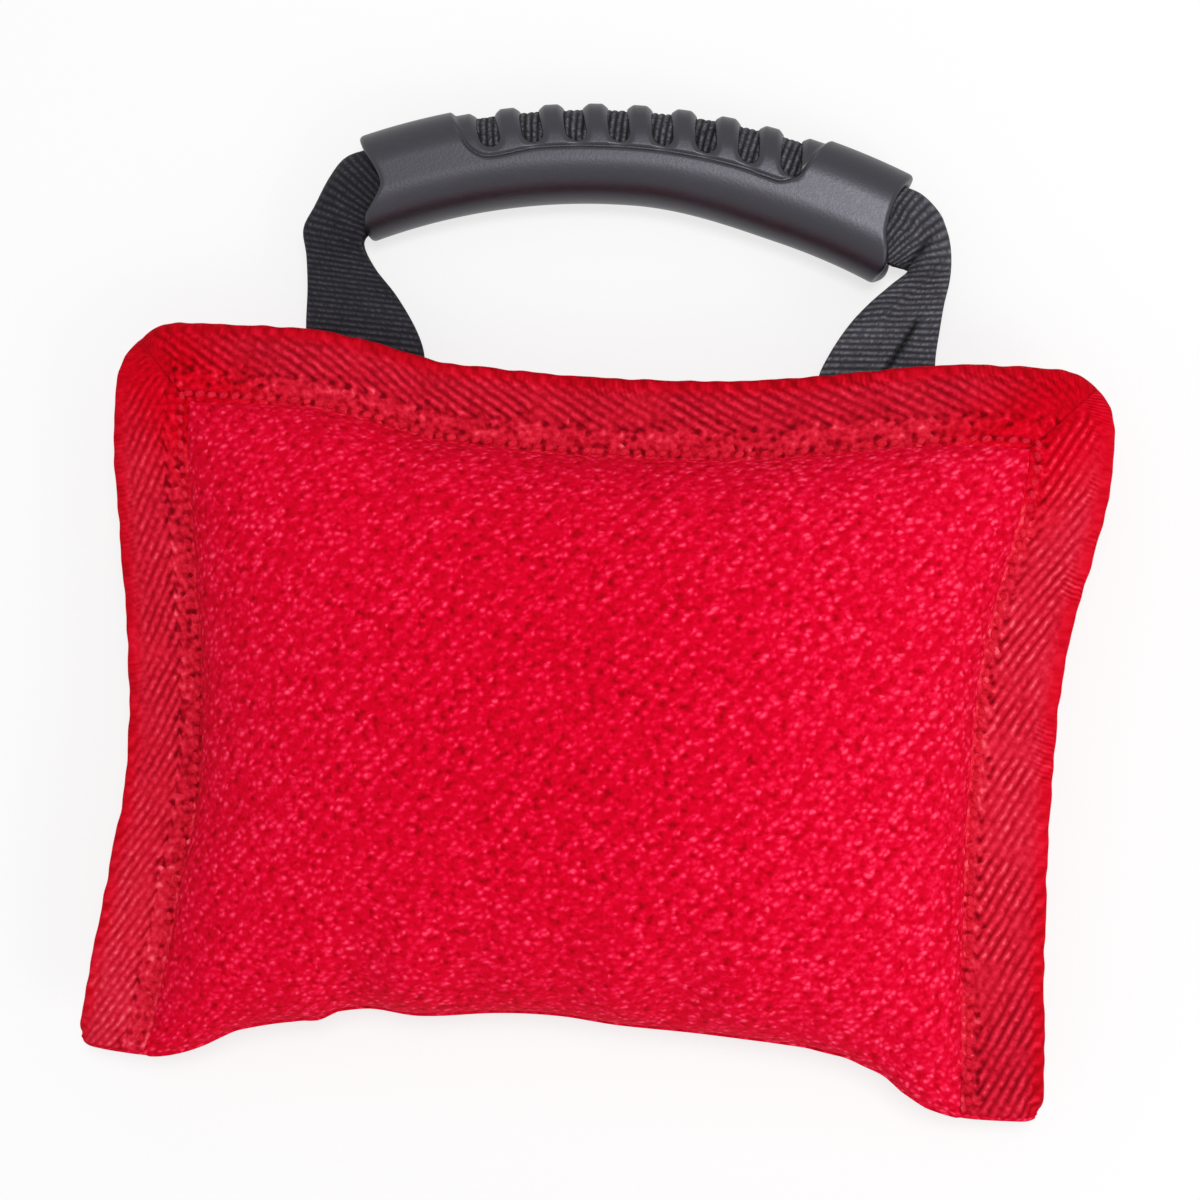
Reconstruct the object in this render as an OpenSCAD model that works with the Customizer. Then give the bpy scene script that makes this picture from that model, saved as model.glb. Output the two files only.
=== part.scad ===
// Soft weight bag with a webbing carry handle.
// The bag lies on its back: the floor is z = 0, the front faces up and the handle points to +Y.
// The origin is the middle of the flat patch that the bag rests on. Millimetres.

/* [Cover] */
// Width of the flat cover, edge to edge
cover_w = 265; // [220:1:320]
// Length of the flat cover, from the bottom fold to the top edge
cover_l = 197; // [165:1:240]
// Thickness of the filled bag
bag_t = 62; // [50:1:76]
// Height of the edge seam above the floor
seam_h = 27; // [22:0.5:32]
// Thickness of the cover cloth
cloth_t = 1.5; // [1:0.1:2.2]
// How far filling draws in each side at the waist
waist_pull = 10; // [2:0.5:18]
// How far filling draws in each side at the bottom fold
foot_pull = 4; // [0:0.5:10]
// How far the top edge dips between its corners
top_dip = 9; // [0:0.5:16]
// How far the bottom fold rises between its ears
fold_rise = 18; // [4:0.5:26]
// How far the corners droop below the seam
corner_droop = 10; // [0:0.5:16]
// Radius of the top corners
corner_r = 18; // [6:1:30]

/* [Binding] */
// Width of the edge tape that shows on each side once it is folded
binding_w = 21.5; // [14:0.5:26]
// Thickness of the edge tape
tape_t = 1; // [0.6:0.1:1.6]
// Distance from the tape's inner edge to its row of stitches
stitch_margin = 2; // [1.5:0.1:4]
// Diameter of the sewing thread
thread_d = 0.8; // [0.5:0.1:1.2]

/* [Filling] */
// Slack between the cover and the inner bag along the edges
liner_slack = 3; // [2.5:0.5:8]
// Thickness of the inner bag's film
liner_t = 0.5; // [0.3:0.1:1]

/* [Straps] */
// Width of the strap webbing
strap_w = 30; // [24:1:36]
// Thickness of the strap webbing
strap_t = 2; // [1.4:0.1:2.6]
// Distance between the middles of the two straps at the seam
strap_spread = 141; // [120:1:160]
// Distance that the handle is sewn off the middle of the bag
handle_x = 3; // [-12:1:12]
// Length of each strap's sewn end
strap_end_l = 19; // [12:0.5:22]
// Clear space for the hand between the bag and the grip
hand_gap = 48; // [44:1:70]

/* [Grip] */
// Inner radius of the grip's curve
grip_r = 167; // [140:1:220]
// Length of the grip along its middle
grip_l = 146; // [130:1:160]
// Width of the finger pad in the plane of the handle
grip_w = 25; // [22:0.5:30]
// Height of the finger pad
grip_h = 21; // [17:0.5:22]
// How far the end blocks stand proud of the finger pad
block_rise = 3; // [1:0.5:5]
// Length of the finger pad between the end blocks
pad_l = 95; // [92:1:104]
// Wall of the rubber sleeve
grip_wall = 3; // [2.2:0.1:4]
// Wall under the ribs, on the outer side of the finger pad
pad_wall = 1.2; // [1:0.1:2.5]
// Number of windows in the finger pad
window_count = 8; // [4:1:8]
// Distance from one window to the next
window_pitch = 11.5; // [9:0.1:11.8]
// Width of each window
window_w = 5.2; // [3:0.1:6.5]
// How far the ribs between the windows stand proud
rib_rise = 1.8; // [0.6:0.1:2.4]

/* [Hidden] */
$fn = 48;

// Colours
cloth_red = [0.85, 0.07, 0.17];
tape_red = [0.72, 0.08, 0.15];
thread_red = [0.5, 0.03, 0.09];
film_grey = [0.75, 0.77, 0.78];
sand_tan = [0.76, 0.66, 0.48];
webbing_black = [0.15, 0.15, 0.17];
thread_black = [0.28, 0.28, 0.3];
rubber_black = [0.25, 0.25, 0.28];

// Sewn layers, measured out from the seam plane
layer_gap = 0.1;
ply_in = layer_gap;
ply_mid = ply_in + cloth_t / 2;
ply_out = ply_in + cloth_t;
tape_in = ply_out + layer_gap;
tape_out = tape_in + tape_t;

// Flat cover, before it is filled
half_w = cover_w / 2;
half_l = cover_l / 2;
rim_x = half_w - tape_t - layer_gap;
rim_y = half_l - tape_t - layer_gap;
seam_x = half_w - binding_w;
seam_y = half_l - binding_w;
fold_y = half_l - ply_out;

// Shape of the filled cover
waist_at = -0.1;
shoulder_at = 0.75;
dip_reach = 0.8;
ear_start = 0.43;
ear_reach = 0.47;
ear_r = 8;
belly_x = 2.6;
belly_y = 2.4;
belly_rise = 0.55;
droop_power = 5;
corner_power = 8;
back_depth = 1.35 * seam_h;
floor_cut = 0.15;
pouch_rim = 0.3;

// Mesh steps of the soft shapes, in degrees and in counts
x_step = 9;
y_step = 10;
edge_steps = 16;
thread_sides = 6;
leg_steps = 5;

// Inner bag and sand
liner_clear = 0.9;
fill_clear = 0.25;

// Fold lines: the round ends of the webbing stand back from the fold so that it can turn
seam_fold_clear = 1;
neck_fold_clear = 0.6;
ply_gap = 0.4;
neck_t = 2 * strap_t + ply_gap;
neck_w = strap_w / 2;
strap_clear = 0.2;

// Sewn box on each strap end, as shares of the end, and its gap from the cut end
box_share_w = 0.8;
box_share_l = 0.58;
box_gap = 2;

// Where the strap meets the mouth of the grip
plate_inner_gap = 3;
plate_outer_gap = 1;
plate_gap_z = 2;
plate_t = 0.4;
elbow_share = 1.4;

// Where the handle folds at the seam
swing_y = half_l + 3.3;
strap_outer_x = strap_spread / 2 + strap_w / 2 + abs(handle_x);
strap_end_z = seam_z(strap_outer_x, half_l) - tape_out - strap_clear - strap_t / 2;

// Grip arc, centred behind the seam
block_h = grip_h + block_rise / 2;
block_w = grip_w + block_rise;
grip_z = block_h / 2;
arc_y = half_l - top_dip + hand_gap - grip_r;
grip_mid_r = grip_r + grip_w / 2;
grip_half = grip_l / 2 / grip_mid_r * 180 / PI;
pad_half = pad_l / 2 / grip_mid_r * 180 / PI;
pitch_angle = window_pitch / grip_mid_r * 180 / PI;
mouth_slant = 1;
block_step = 0.5;
rib_share = 0.92;
rib_round_share = 0.95;
block_swell = 0.4;
bore_w = grip_w - grip_wall - pad_wall;
bore_h = grip_h - 2 * grip_wall;
pad_round_r = grip_r + grip_w - grip_h / 2;
window_floor_r = pad_round_r - 0.5;
rib_w = (window_pitch - window_w) * rib_share;
rib_round = rib_rise * rib_round_share;
webbing_clear = 0.3;
// Degrees by which arcs run past the mouths before they are trimmed, and the bore past those
arc_over = 3;
bore_over = 4;
mouth_over = 20;

// Mouth of the grip, from its inner lip to its outer lip, seen from the arc's centre
mouth_inner = polar(grip_r, grip_half + mouth_slant);
mouth_outer = polar(grip_r + block_w, grip_half - mouth_slant);
mouth_dir = (mouth_outer - mouth_inner) / norm(mouth_outer - mouth_inner);
mouth_out = [mouth_dir.y, -mouth_dir.x];

// Where the grip tilts on the straps
neck_drop = 7.5;
neck_reach = 9.5;
neck_x = polar(grip_mid_r, grip_half).x + neck_reach;
tilt_y = arc_y + polar(grip_mid_r, grip_half).y - neck_drop;
tilt_z = grip_z;

// ---------- Shape of the cover ----------

// Smooth step from 0 to 1
function ease(t) = let (c = min(1, max(0, t))) c * c * (3 - 2 * c);

function mix(a, b, t) = a + (b - a) * t;

// Point at radius r and angle a, where 0 points to +Y and positive angles turn to +X
function polar(r, a) = [r * sin(a), r * cos(a)];

// How far the sides, the top edge and the bottom fold are drawn in
function side_pull(y) =
    let (v = y / half_l)
    v > waist_at
        ? waist_pull * (1 - ease((v - waist_at) / (shoulder_at - waist_at)))
        : mix(waist_pull, foot_pull, ease((waist_at - v) / (1 + waist_at)));

function top_pull(x) = top_dip * (1 - ease(abs(x) / half_w / dip_reach));

function fold_pull(x) = fold_rise * (1 - ease((abs(x) / half_w - ear_start) / ear_reach));

// Product of the two edge distances: 0 on the middle lines, 1 in a corner
function cornerness(x, y) = abs(x * y) / (half_w * half_l);

// Share by which a corner of radius r draws in to become round
function corner_share(r) = r * (sqrt(2) - 1) / norm([half_w, half_l]);

// Plan position of a point of the flat cover once the bag is filled
function drawn(x, y) =
    let (
        dx = side_pull(y) * max(-1, min(1, x / seam_x)),
        dy = y > 0 ? top_pull(x) * min(1, y / seam_y) : fold_pull(x) * y / half_l,
        share = corner_share(y > 0 ? corner_r : ear_r),
        keep = 1 - share * pow(cornerness(x, y), corner_power)
    )
    [(x - dx) * keep, (y - dy) * keep];

// Height of the seam plane
function seam_z(x, y) = seam_h - corner_droop * pow(cornerness(x, y), droop_power);

// Share of its full height that a pouch reaches, for an edge that lies margin inside the seam
function plump(x, y, margin) =
    let (
        u = abs(x) / (seam_x - margin),
        v = y > 0 ? y / (seam_y - margin) : -y / (fold_y - margin)
    )
    pow(max(0, 1 - pow(u, belly_x)) * max(0, 1 - pow(v, belly_y)), belly_rise);

// Middle of the cloth: side is 1 on the front and -1 on the back
function cloth_mid(side, x, y) =
    let (
        p = drawn(x, y),
        base = seam_z(x, y) + side * ply_mid,
        rise = plump(x, y, 0),
        front_z = base + (bag_t - cloth_t / 2 - seam_h - ply_mid) * rise,
        back_z = max(cloth_t / 2 - floor_cut, base - back_depth * rise)
    )
    [p.x, p.y, side > 0 ? front_z : back_z];

function cloth_normal(side, x, y) =
    let (
        e = 0.4,
        along_x = cloth_mid(side, x + e, y) - cloth_mid(side, x - e, y),
        along_y = cloth_mid(side, x, y + e) - cloth_mid(side, x, y - e),
        n = cross(along_x, along_y) * side
    )
    n / norm(n);

// One skin of the cloth, half a thickness out (out = 1) or in (out = -1)
function cloth_skin(side, x, y, out) =
    cloth_mid(side, x, y) + out * cloth_t / 2 * cloth_normal(side, x, y);

// The skin's row round the bottom fold
function fold_skin(x, out) =
    let (
        middle = (cloth_skin(1, x, -fold_y, out) + cloth_skin(-1, x, -fold_y, out)) / 2,
        bulge = out > 0 ? ply_out * cloth_normal(1, x, -fold_y).z : 0
    )
    middle - [0, bulge, 0];

// ---------- Solids from point grids ----------

function two_faces(a, b, c, d) = [[a, b, c], [a, c, d]];

// Closed solid between two grids of the same size: rows run to -Y, points in a row to +X
module sheet_solid(outer, inner) {
    rows = len(outer);
    cols = len(outer[0]);
    points = [for (grid = [outer, inner]) for (row = grid) each row];
    under = rows * cols;
    function id(i, j) = i * cols + j;
    faces = [
        for (i = [0 : rows - 2]) for (j = [0 : cols - 2])
            each two_faces(id(i, j), id(i, j + 1), id(i + 1, j + 1), id(i + 1, j)),
        for (i = [0 : rows - 2]) for (j = [0 : cols - 2])
            each two_faces(under + id(i, j), under + id(i + 1, j),
                           under + id(i + 1, j + 1), under + id(i, j + 1)),
        for (i = [0 : rows - 2])
            each two_faces(id(i, 0), id(i + 1, 0), under + id(i + 1, 0), under + id(i, 0)),
        for (i = [0 : rows - 2])
            each two_faces(id(i + 1, cols - 1), id(i, cols - 1),
                           under + id(i, cols - 1), under + id(i + 1, cols - 1)),
        for (j = [0 : cols - 2])
            each two_faces(id(0, j + 1), id(0, j), under + id(0, j), under + id(0, j + 1)),
        for (j = [0 : cols - 2])
            each two_faces(id(rows - 1, j), id(rows - 1, j + 1),
                           under + id(rows - 1, j + 1), under + id(rows - 1, j))
    ];
    polyhedron(points = points, faces = faces);
}

// Side faces of a swept solid, whose rings turn right-handed about the sweep
function sweep_faces(rings, count) = [
    for (i = [0 : rings - 2]) for (k = [0 : count - 1])
        let (n = (k + 1) % count)
        each two_faces(i * count + k, (i + 1) * count + k, (i + 1) * count + n, i * count + n)
];

// Swept solid with convex ends
module sweep_solid(rings) {
    count = len(rings[0]);
    last = (len(rings) - 1) * count;
    caps = [
        for (k = [1 : count - 2]) [0, k, k + 1],
        for (k = [1 : count - 2]) [last, last + k + 1, last + k]
    ];
    polyhedron(points = [for (ring = rings) each ring], faces = concat(sweep_faces(len(rings), count), caps));
}

// ---------- Bag ----------

// Closed pouch inside the cover: margin in from the seam, drop below the cloth's middle
module pouch(margin, drop) {
    xs = [for (a = [-90 : x_step : 90]) (seam_x - margin) * sin(a)];
    top = seam_y - margin;
    bottom = -(fold_y - margin);
    ys = [for (a = [90 : -y_step : -90]) mix(bottom, top, (1 + sin(a)) / 2)];
    front_h = bag_t - cloth_t / 2 - seam_h - ply_mid - drop;
    function level(x, y, side) =
        side > 0
            ? seam_z(x, y) + pouch_rim + front_h * plump(x, y, margin)
            : max(cloth_t / 2 + drop, seam_z(x, y) - pouch_rim - (back_depth - drop) * plump(x, y, margin));
    front = [for (y = ys) [for (x = xs) let (p = drawn(x, y)) [p.x, p.y, level(x, y, 1)]]];
    back = [for (y = ys) [for (x = xs) let (p = drawn(x, y)) [p.x, p.y, level(x, y, -1)]]];
    sheet_solid(front, back);
}

// One piece of cloth: front, bottom fold and back, open along the bound edges
module cover_cloth() {
    belly_xs = [for (a = [-90 : x_step : 90]) seam_x * sin(a)];
    xs = concat([-rim_x, -mix(rim_x, seam_x, 0.5)], belly_xs, [mix(rim_x, seam_x, 0.5), rim_x]);
    belly_ys = [for (a = [90 : -y_step : -90]) mix(-fold_y, seam_y, (1 + sin(a)) / 2)];
    ys = concat([rim_y, mix(rim_y, seam_y, 0.5)], belly_ys);
    last = len(ys) - 1;
    function skin(out) = [
        for (y = ys) [for (x = xs) cloth_skin(1, x, y, out)],
        [for (x = xs) fold_skin(x, out)],
        for (i = [last : -1 : 0]) [for (x = xs) cloth_skin(-1, x, ys[i], out)]
    ];
    color(cloth_red)
        difference() {
            sheet_solid(skin(1), skin(-1));
            translate([-cover_w, -cover_l, -seam_h]) cube([2 * cover_w, 2 * cover_l, seam_h]);
        }
}

// Flat point on the bound edges, inset from the edge: s runs 0-1 up the left side,
// 1-2 along the top and 2-3 down the right side
function edge_flat(s, inset) =
    s <= 1 ? let (y = mix(-fold_y, half_l, s)) [inset - half_w, y > 0 ? y * (1 - inset / half_l) : y]
    : s <= 2 ? [mix(-half_w, half_w, s - 1) * (1 - inset / half_w), half_l - inset]
    : let (p = edge_flat(3 - s, inset)) [-p.x, p.y];

// Point on the bound edges, at a height above or below the seam plane
function edge_point(s, inset, h) =
    let (flat = edge_flat(s, inset), p = drawn(flat.x, flat.y))
    [p.x, p.y, seam_z(flat.x, flat.y) + h];

// Stations along the three bound edges, closer together near the corners
edge_stations = [
    for (side = [0 : 2]) for (k = [0 : edge_steps - 1]) side + (1 - cos(180 * k / edge_steps)) / 2,
    3
];

// Tape folded over the side and top edges, in one length with mitred corners
module binding_tape() {
    bevel = 0.6 * tape_t;
    near = binding_w / 3;
    far = 2 * near;
    section = [
        [binding_w, -tape_out], [far, -tape_out], [near, -tape_out], [bevel, -tape_out],
        [0, bevel - tape_out], [0, tape_out - bevel],
        [bevel, tape_out], [near, tape_out], [far, tape_out], [binding_w, tape_out],
        [binding_w, tape_in], [far, tape_in], [near, tape_in], [tape_t, tape_in],
        [tape_t, -tape_in], [near, -tape_in], [far, -tape_in], [binding_w, -tape_in]
    ];
    count = len(section);
    rings = [for (s = edge_stations) [for (p = section) edge_point(s, p[0], p[1])]];
    last = (len(rings) - 1) * count;
    // Each end is a leg, the fold and a leg, as convex parts
    end_parts = [
        [0, 1, 16], [0, 16, 17], [1, 2, 15], [1, 15, 16], [2, 3, 14], [2, 14, 15],
        [3, 4, 14], [4, 5, 14], [5, 13, 14], [5, 6, 13],
        [6, 7, 12], [6, 12, 13], [7, 8, 11], [7, 11, 12], [8, 9, 10], [8, 10, 11]
    ];
    caps = [for (f = end_parts) each [f, [last + f[0], last + f[2], last + f[1]]]];
    color(tape_red)
        polyhedron(points = [for (ring = rings) each ring],
                   faces = concat(sweep_faces(len(rings), count), caps));
}

// The lockstitch that holds the tape: one thread on each face
module binding_stitching() {
    inset = binding_w - stitch_margin;
    thread_r = thread_d / 2;
    color(thread_red)
        for (side = [-1, 1])
            sweep_solid([
                for (s = edge_stations) [
                    for (k = [0 : thread_sides - 1])
                        let (a = 360 * k / thread_sides)
                        edge_point(s, inset + thread_r * sin(a), side * tape_out + thread_r * cos(a))
                ]
            ]);
}

module inner_bag() {
    color(film_grey)
        difference() {
            pouch(liner_slack, liner_clear + cloth_t / 2);
            pouch(liner_slack + 2 * liner_t, liner_clear + cloth_t / 2 + liner_t);
        }
}

module sand_fill() {
    color(sand_tan)
        pouch(liner_slack + 2 * liner_t + fill_clear, liner_clear + cloth_t / 2 + liner_t + fill_clear);
}

// ---------- Straps ----------

// Places the right-hand shape, or its mirror image on the left
module on_side(side) {
    translate([handle_x, 0, 0])
        mirror([side < 0 ? 1 : 0, 0, 0])
            children();
}

// Flat sewn end of a strap under the seam, with a round end at the fold
module strap_end(side) {
    end_y = swing_y - seam_fold_clear - strap_t / 2;
    color(webbing_black)
        on_side(side)
            translate([(strap_spread - strap_w) / 2, 0, strap_end_z])
                rotate([90, 0, 90])
                    linear_extrude(strap_w) {
                        translate([end_y - strap_end_l, -strap_t / 2]) square([strap_end_l, strap_t]);
                        translate([end_y, 0]) circle(d = strap_t);
                    }
}

// Box and cross of stitches on the underside of both strap ends
module strap_end_stitching() {
    end_y = swing_y - seam_fold_clear - strap_t / 2;
    box_w = box_share_w * strap_w;
    box_l = box_share_l * strap_end_l;
    box_y = end_y - strap_end_l + box_gap + box_l / 2;
    sunk = thread_d / 2;
    color(thread_black)
        for (side = [-1, 1])
            on_side(side)
                translate([strap_spread / 2, box_y, strap_end_z - strap_t / 2 - sunk])
                    linear_extrude(thread_d) {
                        difference() {
                            square([box_w, box_l], center = true);
                            square([box_w - 2 * thread_d, box_l - 2 * thread_d], center = true);
                        }
                        for (turn = [-1, 1])
                            rotate(turn * atan2(box_l, box_w))
                                square([norm([box_w, box_l]) - 2 * thread_d, thread_d], center = true);
                    }
}

// Section of a strap across the handle: half width a, half thickness c
function strap_section(x, y, z, a, c) =
    let (b = 0.6 * c)
    [for (p = [[b - a, c], [a - b, c], [a, c - b], [a, b - c], [a - b, -c], [b - a, -c], [-a, b - c], [-a, c - b]])
        [x + p[0], y, z + p[1]]];

// Strap from the seam to the grip: flat at the seam and folded double at the neck
module strap_leg(side) {
    y0 = swing_y + seam_fold_clear + strap_t / 2;
    y1 = tilt_y - neck_fold_clear - neck_t / 2;
    color(webbing_black)
        on_side(side) {
            sweep_solid([
                for (k = [0 : leg_steps])
                    let (t = k / leg_steps, e = ease(t))
                    strap_section(mix(strap_spread / 2, neck_x, e), mix(y0, y1, t),
                                  mix(strap_end_z, tilt_z, t), mix(strap_w, neck_w, e) / 2,
                                  mix(strap_t, neck_t, e) / 2)
            ]);
            translate([(strap_spread - strap_w) / 2, y0, strap_end_z])
                rotate([0, 90, 0]) cylinder(d = strap_t, h = strap_w);
            translate([neck_x - neck_w / 2, y1, tilt_z])
                rotate([0, 90, 0]) cylinder(d = neck_t, h = neck_w);
        }
}

// Strap from its fold to the mouth of the grip, where it turns into the bore
module strap_neck(side) {
    neck_y = tilt_y + neck_fold_clear + neck_t / 2;
    plate_in = mouth_inner + mouth_dir * (grip_wall + plate_inner_gap) + mouth_out * webbing_clear;
    plate_out = mouth_outer - mouth_dir * (grip_wall + block_rise + plate_outer_gap) + mouth_out * webbing_clear;
    elbow = [neck_x, neck_y - arc_y] + [neck_w / 2 - neck_t, neck_t];
    color(webbing_black)
        on_side(side)
            hull() {
                translate([neck_x - neck_w / 2, neck_y, tilt_z])
                    rotate([0, 90, 0]) cylinder(d = neck_t, h = neck_w, $fn = 32);
                translate([elbow.x, elbow.y + arc_y, tilt_z])
                    cylinder(r = neck_t, h = neck_t * elbow_share, center = true, $fn = 32);
                for (p = [plate_in, plate_out])
                    translate([p.x, p.y + arc_y, tilt_z])
                        rotate(-atan2(mouth_dir.x, mouth_dir.y))
                            translate([0, -plate_t / 2, plate_gap_z - bore_h / 2])
                                cube([plate_t, plate_t, bore_h - 2 * plate_gap_z]);
            }
}

// ---------- Grip ----------

// Places shapes drawn about the arc's centre
module at_arc() {
    translate([handle_x, arc_y, grip_z]) children();
}

// Oval with round ends, w across and h high, its inner end at radius r
module oval(r, w, h) {
    translate([r + h / 2, 0]) circle(d = h);
    translate([r + w - h / 2, 0]) circle(d = h);
    translate([r + h / 2, -h / 2]) square([w - h, h]);
}

// Sweeps a section through the arc from one angle to another
module arc(from, to) {
    rotate(90 - to)
        rotate_extrude(angle = to - from, $fn = 96)
            children();
}

// Everything between the two mouths
module between_mouths() {
    inner = mouth_inner - mouth_dir * mouth_over;
    outer = mouth_outer + mouth_dir * mouth_over;
    translate([0, 0, -block_h])
        linear_extrude(2 * block_h)
            polygon([[-inner.x, inner.y], [-outer.x, outer.y], [outer.x, outer.y], [inner.x, inner.y]]);
}

// The webbing inside the grip, cupped round the outer side of the bore
module strap_middle() {
    w = bore_w - 2 * webbing_clear;
    h = bore_h - 2 * webbing_clear;
    inner_r = grip_r + grip_wall + webbing_clear;
    round_r = inner_r + w - h / 2;
    flank = (strap_w - PI * (h - strap_t) / 2) / 2;
    color(webbing_black)
        at_arc()
            intersection() {
                arc(-grip_half - arc_over, grip_half + arc_over)
                    difference() {
                        oval(inner_r, w, h);
                        oval(inner_r + strap_t, w - 2 * strap_t, h - 2 * strap_t);
                        translate([inner_r - h, -h]) square([h + round_r - flank - inner_r, 2 * h]);
                    }
                between_mouths();
            }
}

// Rounded rib wrapped over the outer side of the finger pad: a ring that sinks into the wall
module rib() {
    translate([0, pad_round_r, 0])
        rotate([0, 90, 0])
            rotate_extrude() {
                for (side = [-1, 1])
                    translate([grip_h / 2 + rib_rise - rib_round, side * (rib_w / 2 - rib_round)])
                        circle(r = rib_round);
                translate([grip_h / 2 + rib_rise - 2 * rib_round, rib_round - rib_w / 2])
                    square([2 * rib_round, rib_w - 2 * rib_round]);
            }
}

// Slot through the outer wall, rounded at its floor
module window() {
    translate([0, window_floor_r + window_w / 2, -block_h])
        linear_extrude(2 * block_h) {
            circle(d = window_w);
            translate([-window_w / 2, 0]) square([window_w, grip_h]);
        }
}

// Section of an end block, grown from the pad's section by a share of its full rise
module block_section(share) {
    oval(grip_r - share * block_swell, grip_w + share * (block_rise + block_swell),
         mix(grip_h, block_h, share));
}

// Moulded rubber sleeve with a ribbed finger pad between two smooth end blocks
module grip_sleeve() {
    color(rubber_black)
        at_arc()
            difference() {
                intersection() {
                    union() {
                        arc(-grip_half - arc_over, grip_half + arc_over) oval(grip_r, grip_w, grip_h);
                        for (side = [0, 1])
                            mirror([side, 0, 0]) {
                                arc(pad_half, pad_half + block_step * 2)
                                    block_section(0.5);
                                arc(pad_half + block_step, grip_half + arc_over)
                                    block_section(1);
                            }
                        for (i = [0 : window_count])
                            rotate(-(i - window_count / 2) * pitch_angle) rib();
                    }
                    between_mouths();
                }
                arc(-grip_half - bore_over, grip_half + bore_over) oval(grip_r + grip_wall, bore_w, bore_h);
                for (i = [0 : window_count - 1])
                    rotate(-(i - (window_count - 1) / 2) * pitch_angle) window();
            }
}

cover_cloth();
binding_tape();
binding_stitching();
inner_bag();
sand_fill();
strap_end(-1);  // strap_end_left
strap_end(1);  // strap_end_right
strap_end_stitching();
strap_leg(-1);  // strap_leg_left
strap_leg(1);  // strap_leg_right
strap_neck(-1);  // strap_neck_left
strap_neck(1);  // strap_neck_right
strap_middle();
grip_sleeve();
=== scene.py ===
"""Looks of the sandbag: a plump red cloth bag with a taped edge, webbing straps and a ribbed rubber grip."""

import math
from types import SimpleNamespace

import bpy
import numpy as np
from mathutils import Matrix, Vector


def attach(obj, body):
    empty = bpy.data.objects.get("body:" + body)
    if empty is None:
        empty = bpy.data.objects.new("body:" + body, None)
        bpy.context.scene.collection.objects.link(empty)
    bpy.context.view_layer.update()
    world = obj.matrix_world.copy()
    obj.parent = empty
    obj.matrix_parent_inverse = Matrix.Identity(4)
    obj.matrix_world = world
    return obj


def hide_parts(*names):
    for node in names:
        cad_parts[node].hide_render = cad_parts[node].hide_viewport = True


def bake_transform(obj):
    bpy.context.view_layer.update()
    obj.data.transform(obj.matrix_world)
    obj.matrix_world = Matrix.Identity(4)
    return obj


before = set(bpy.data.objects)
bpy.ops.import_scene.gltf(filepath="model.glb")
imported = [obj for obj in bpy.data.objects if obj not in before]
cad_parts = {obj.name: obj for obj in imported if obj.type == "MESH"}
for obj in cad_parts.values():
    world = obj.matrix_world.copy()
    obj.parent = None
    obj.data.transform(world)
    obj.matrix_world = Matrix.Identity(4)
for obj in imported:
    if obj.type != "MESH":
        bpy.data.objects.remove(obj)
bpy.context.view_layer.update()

# Lengths below are in millimetres, as in the part's source, unless a comment says otherwise.
MM = 0.001


def new_object(name, data):
    made = bpy.data.objects.new(name, data)
    bpy.context.scene.collection.objects.link(made)
    return made


# ---------- Camera ----------

CAMERA_AIM = (0.0, 31.0, 0.0)
CAMERA_DISTANCE = 700.0
CAMERA_TILT_DEG = 7.0
CAMERA_ROLL_DEG = 3.8
CAMERA_LENS = 76.8
SENSOR = 36.0


def add_camera():
    """Looks down on the bag from a little to its right, rolled so that the bag leans as in the photo."""
    tilt = math.radians(CAMERA_TILT_DEG)
    roll = math.radians(CAMERA_ROLL_DEG)
    back = Vector((math.sin(tilt), 0, math.cos(tilt)))
    level_x = Vector((0, 1, 0)).cross(back).normalized()
    level_y = back.cross(level_x)
    right = level_x * math.cos(roll) + level_y * math.sin(roll)
    up = level_y * math.cos(roll) - level_x * math.sin(roll)
    data = bpy.data.cameras.new("camera")
    data.lens = CAMERA_LENS
    data.sensor_width = SENSOR
    camera = new_object("camera", data)
    turn = Matrix((right, up, back)).transposed().to_4x4()
    place = (Vector(CAMERA_AIM) + back * CAMERA_DISTANCE) * MM
    camera.matrix_world = Matrix.Translation(place) @ turn
    bpy.context.scene.camera = camera


add_camera()


# ---------- Small helpers ----------

def ease(t):
    """Smooth step from 0 to 1."""
    t = np.clip(t, 0.0, 1.0)
    return t * t * (3.0 - 2.0 * t)


def mix(a, b, t):
    return a + (b - a) * t


def grid_faces(rows, cols, wrap_cols=False):
    """Quads of a grid of points, numbered row by row."""
    i, j = np.meshgrid(np.arange(rows - 1), np.arange(cols if wrap_cols else cols - 1), indexing="ij")
    i, j = i.ravel(), j.ravel()
    n = (j + 1) % cols
    return np.stack([i * cols + j, i * cols + n, (i + 1) * cols + n, (i + 1) * cols + j], 1)


def keep_coords(mesh, name, coords):
    """Keeps a vector for each point of the mesh, for its material to read."""
    kept = mesh.attributes.new(name, "FLOAT_VECTOR", "POINT")
    kept.data.foreach_set("vector", np.asarray(coords, np.float32).ravel())


def add_piece(name, points, faces, coords=None):
    """A smooth mesh object from points in mm, with its cloth coordinates kept as an attribute."""
    points = np.asarray(points, float).reshape(-1, 3)
    mesh = bpy.data.meshes.new(name)
    mesh.from_pydata((points * MM).tolist(), [], [list(f) for f in faces])
    mesh.validate()
    mesh.polygons.foreach_set("use_smooth", np.ones(len(mesh.polygons), bool))
    if coords is not None:
        keep_coords(mesh, "cloth", coords)
    mesh.update()
    return new_object(name, mesh)


def joined(parts):
    """Joins parts, each of points, faces and sets of coordinates, with the faces numbered on."""
    faces, first = [], 0
    for part in parts:
        faces += [[i + first for i in face] for face in part[1]]
        first += len(part[0])
    points, _, *coords = zip(*parts)
    return np.concatenate(points), faces, *[np.concatenate(c) for c in coords]


def unit(v):
    return v / np.maximum(np.linalg.norm(v, axis=-1, keepdims=True), 1e-9)


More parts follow.
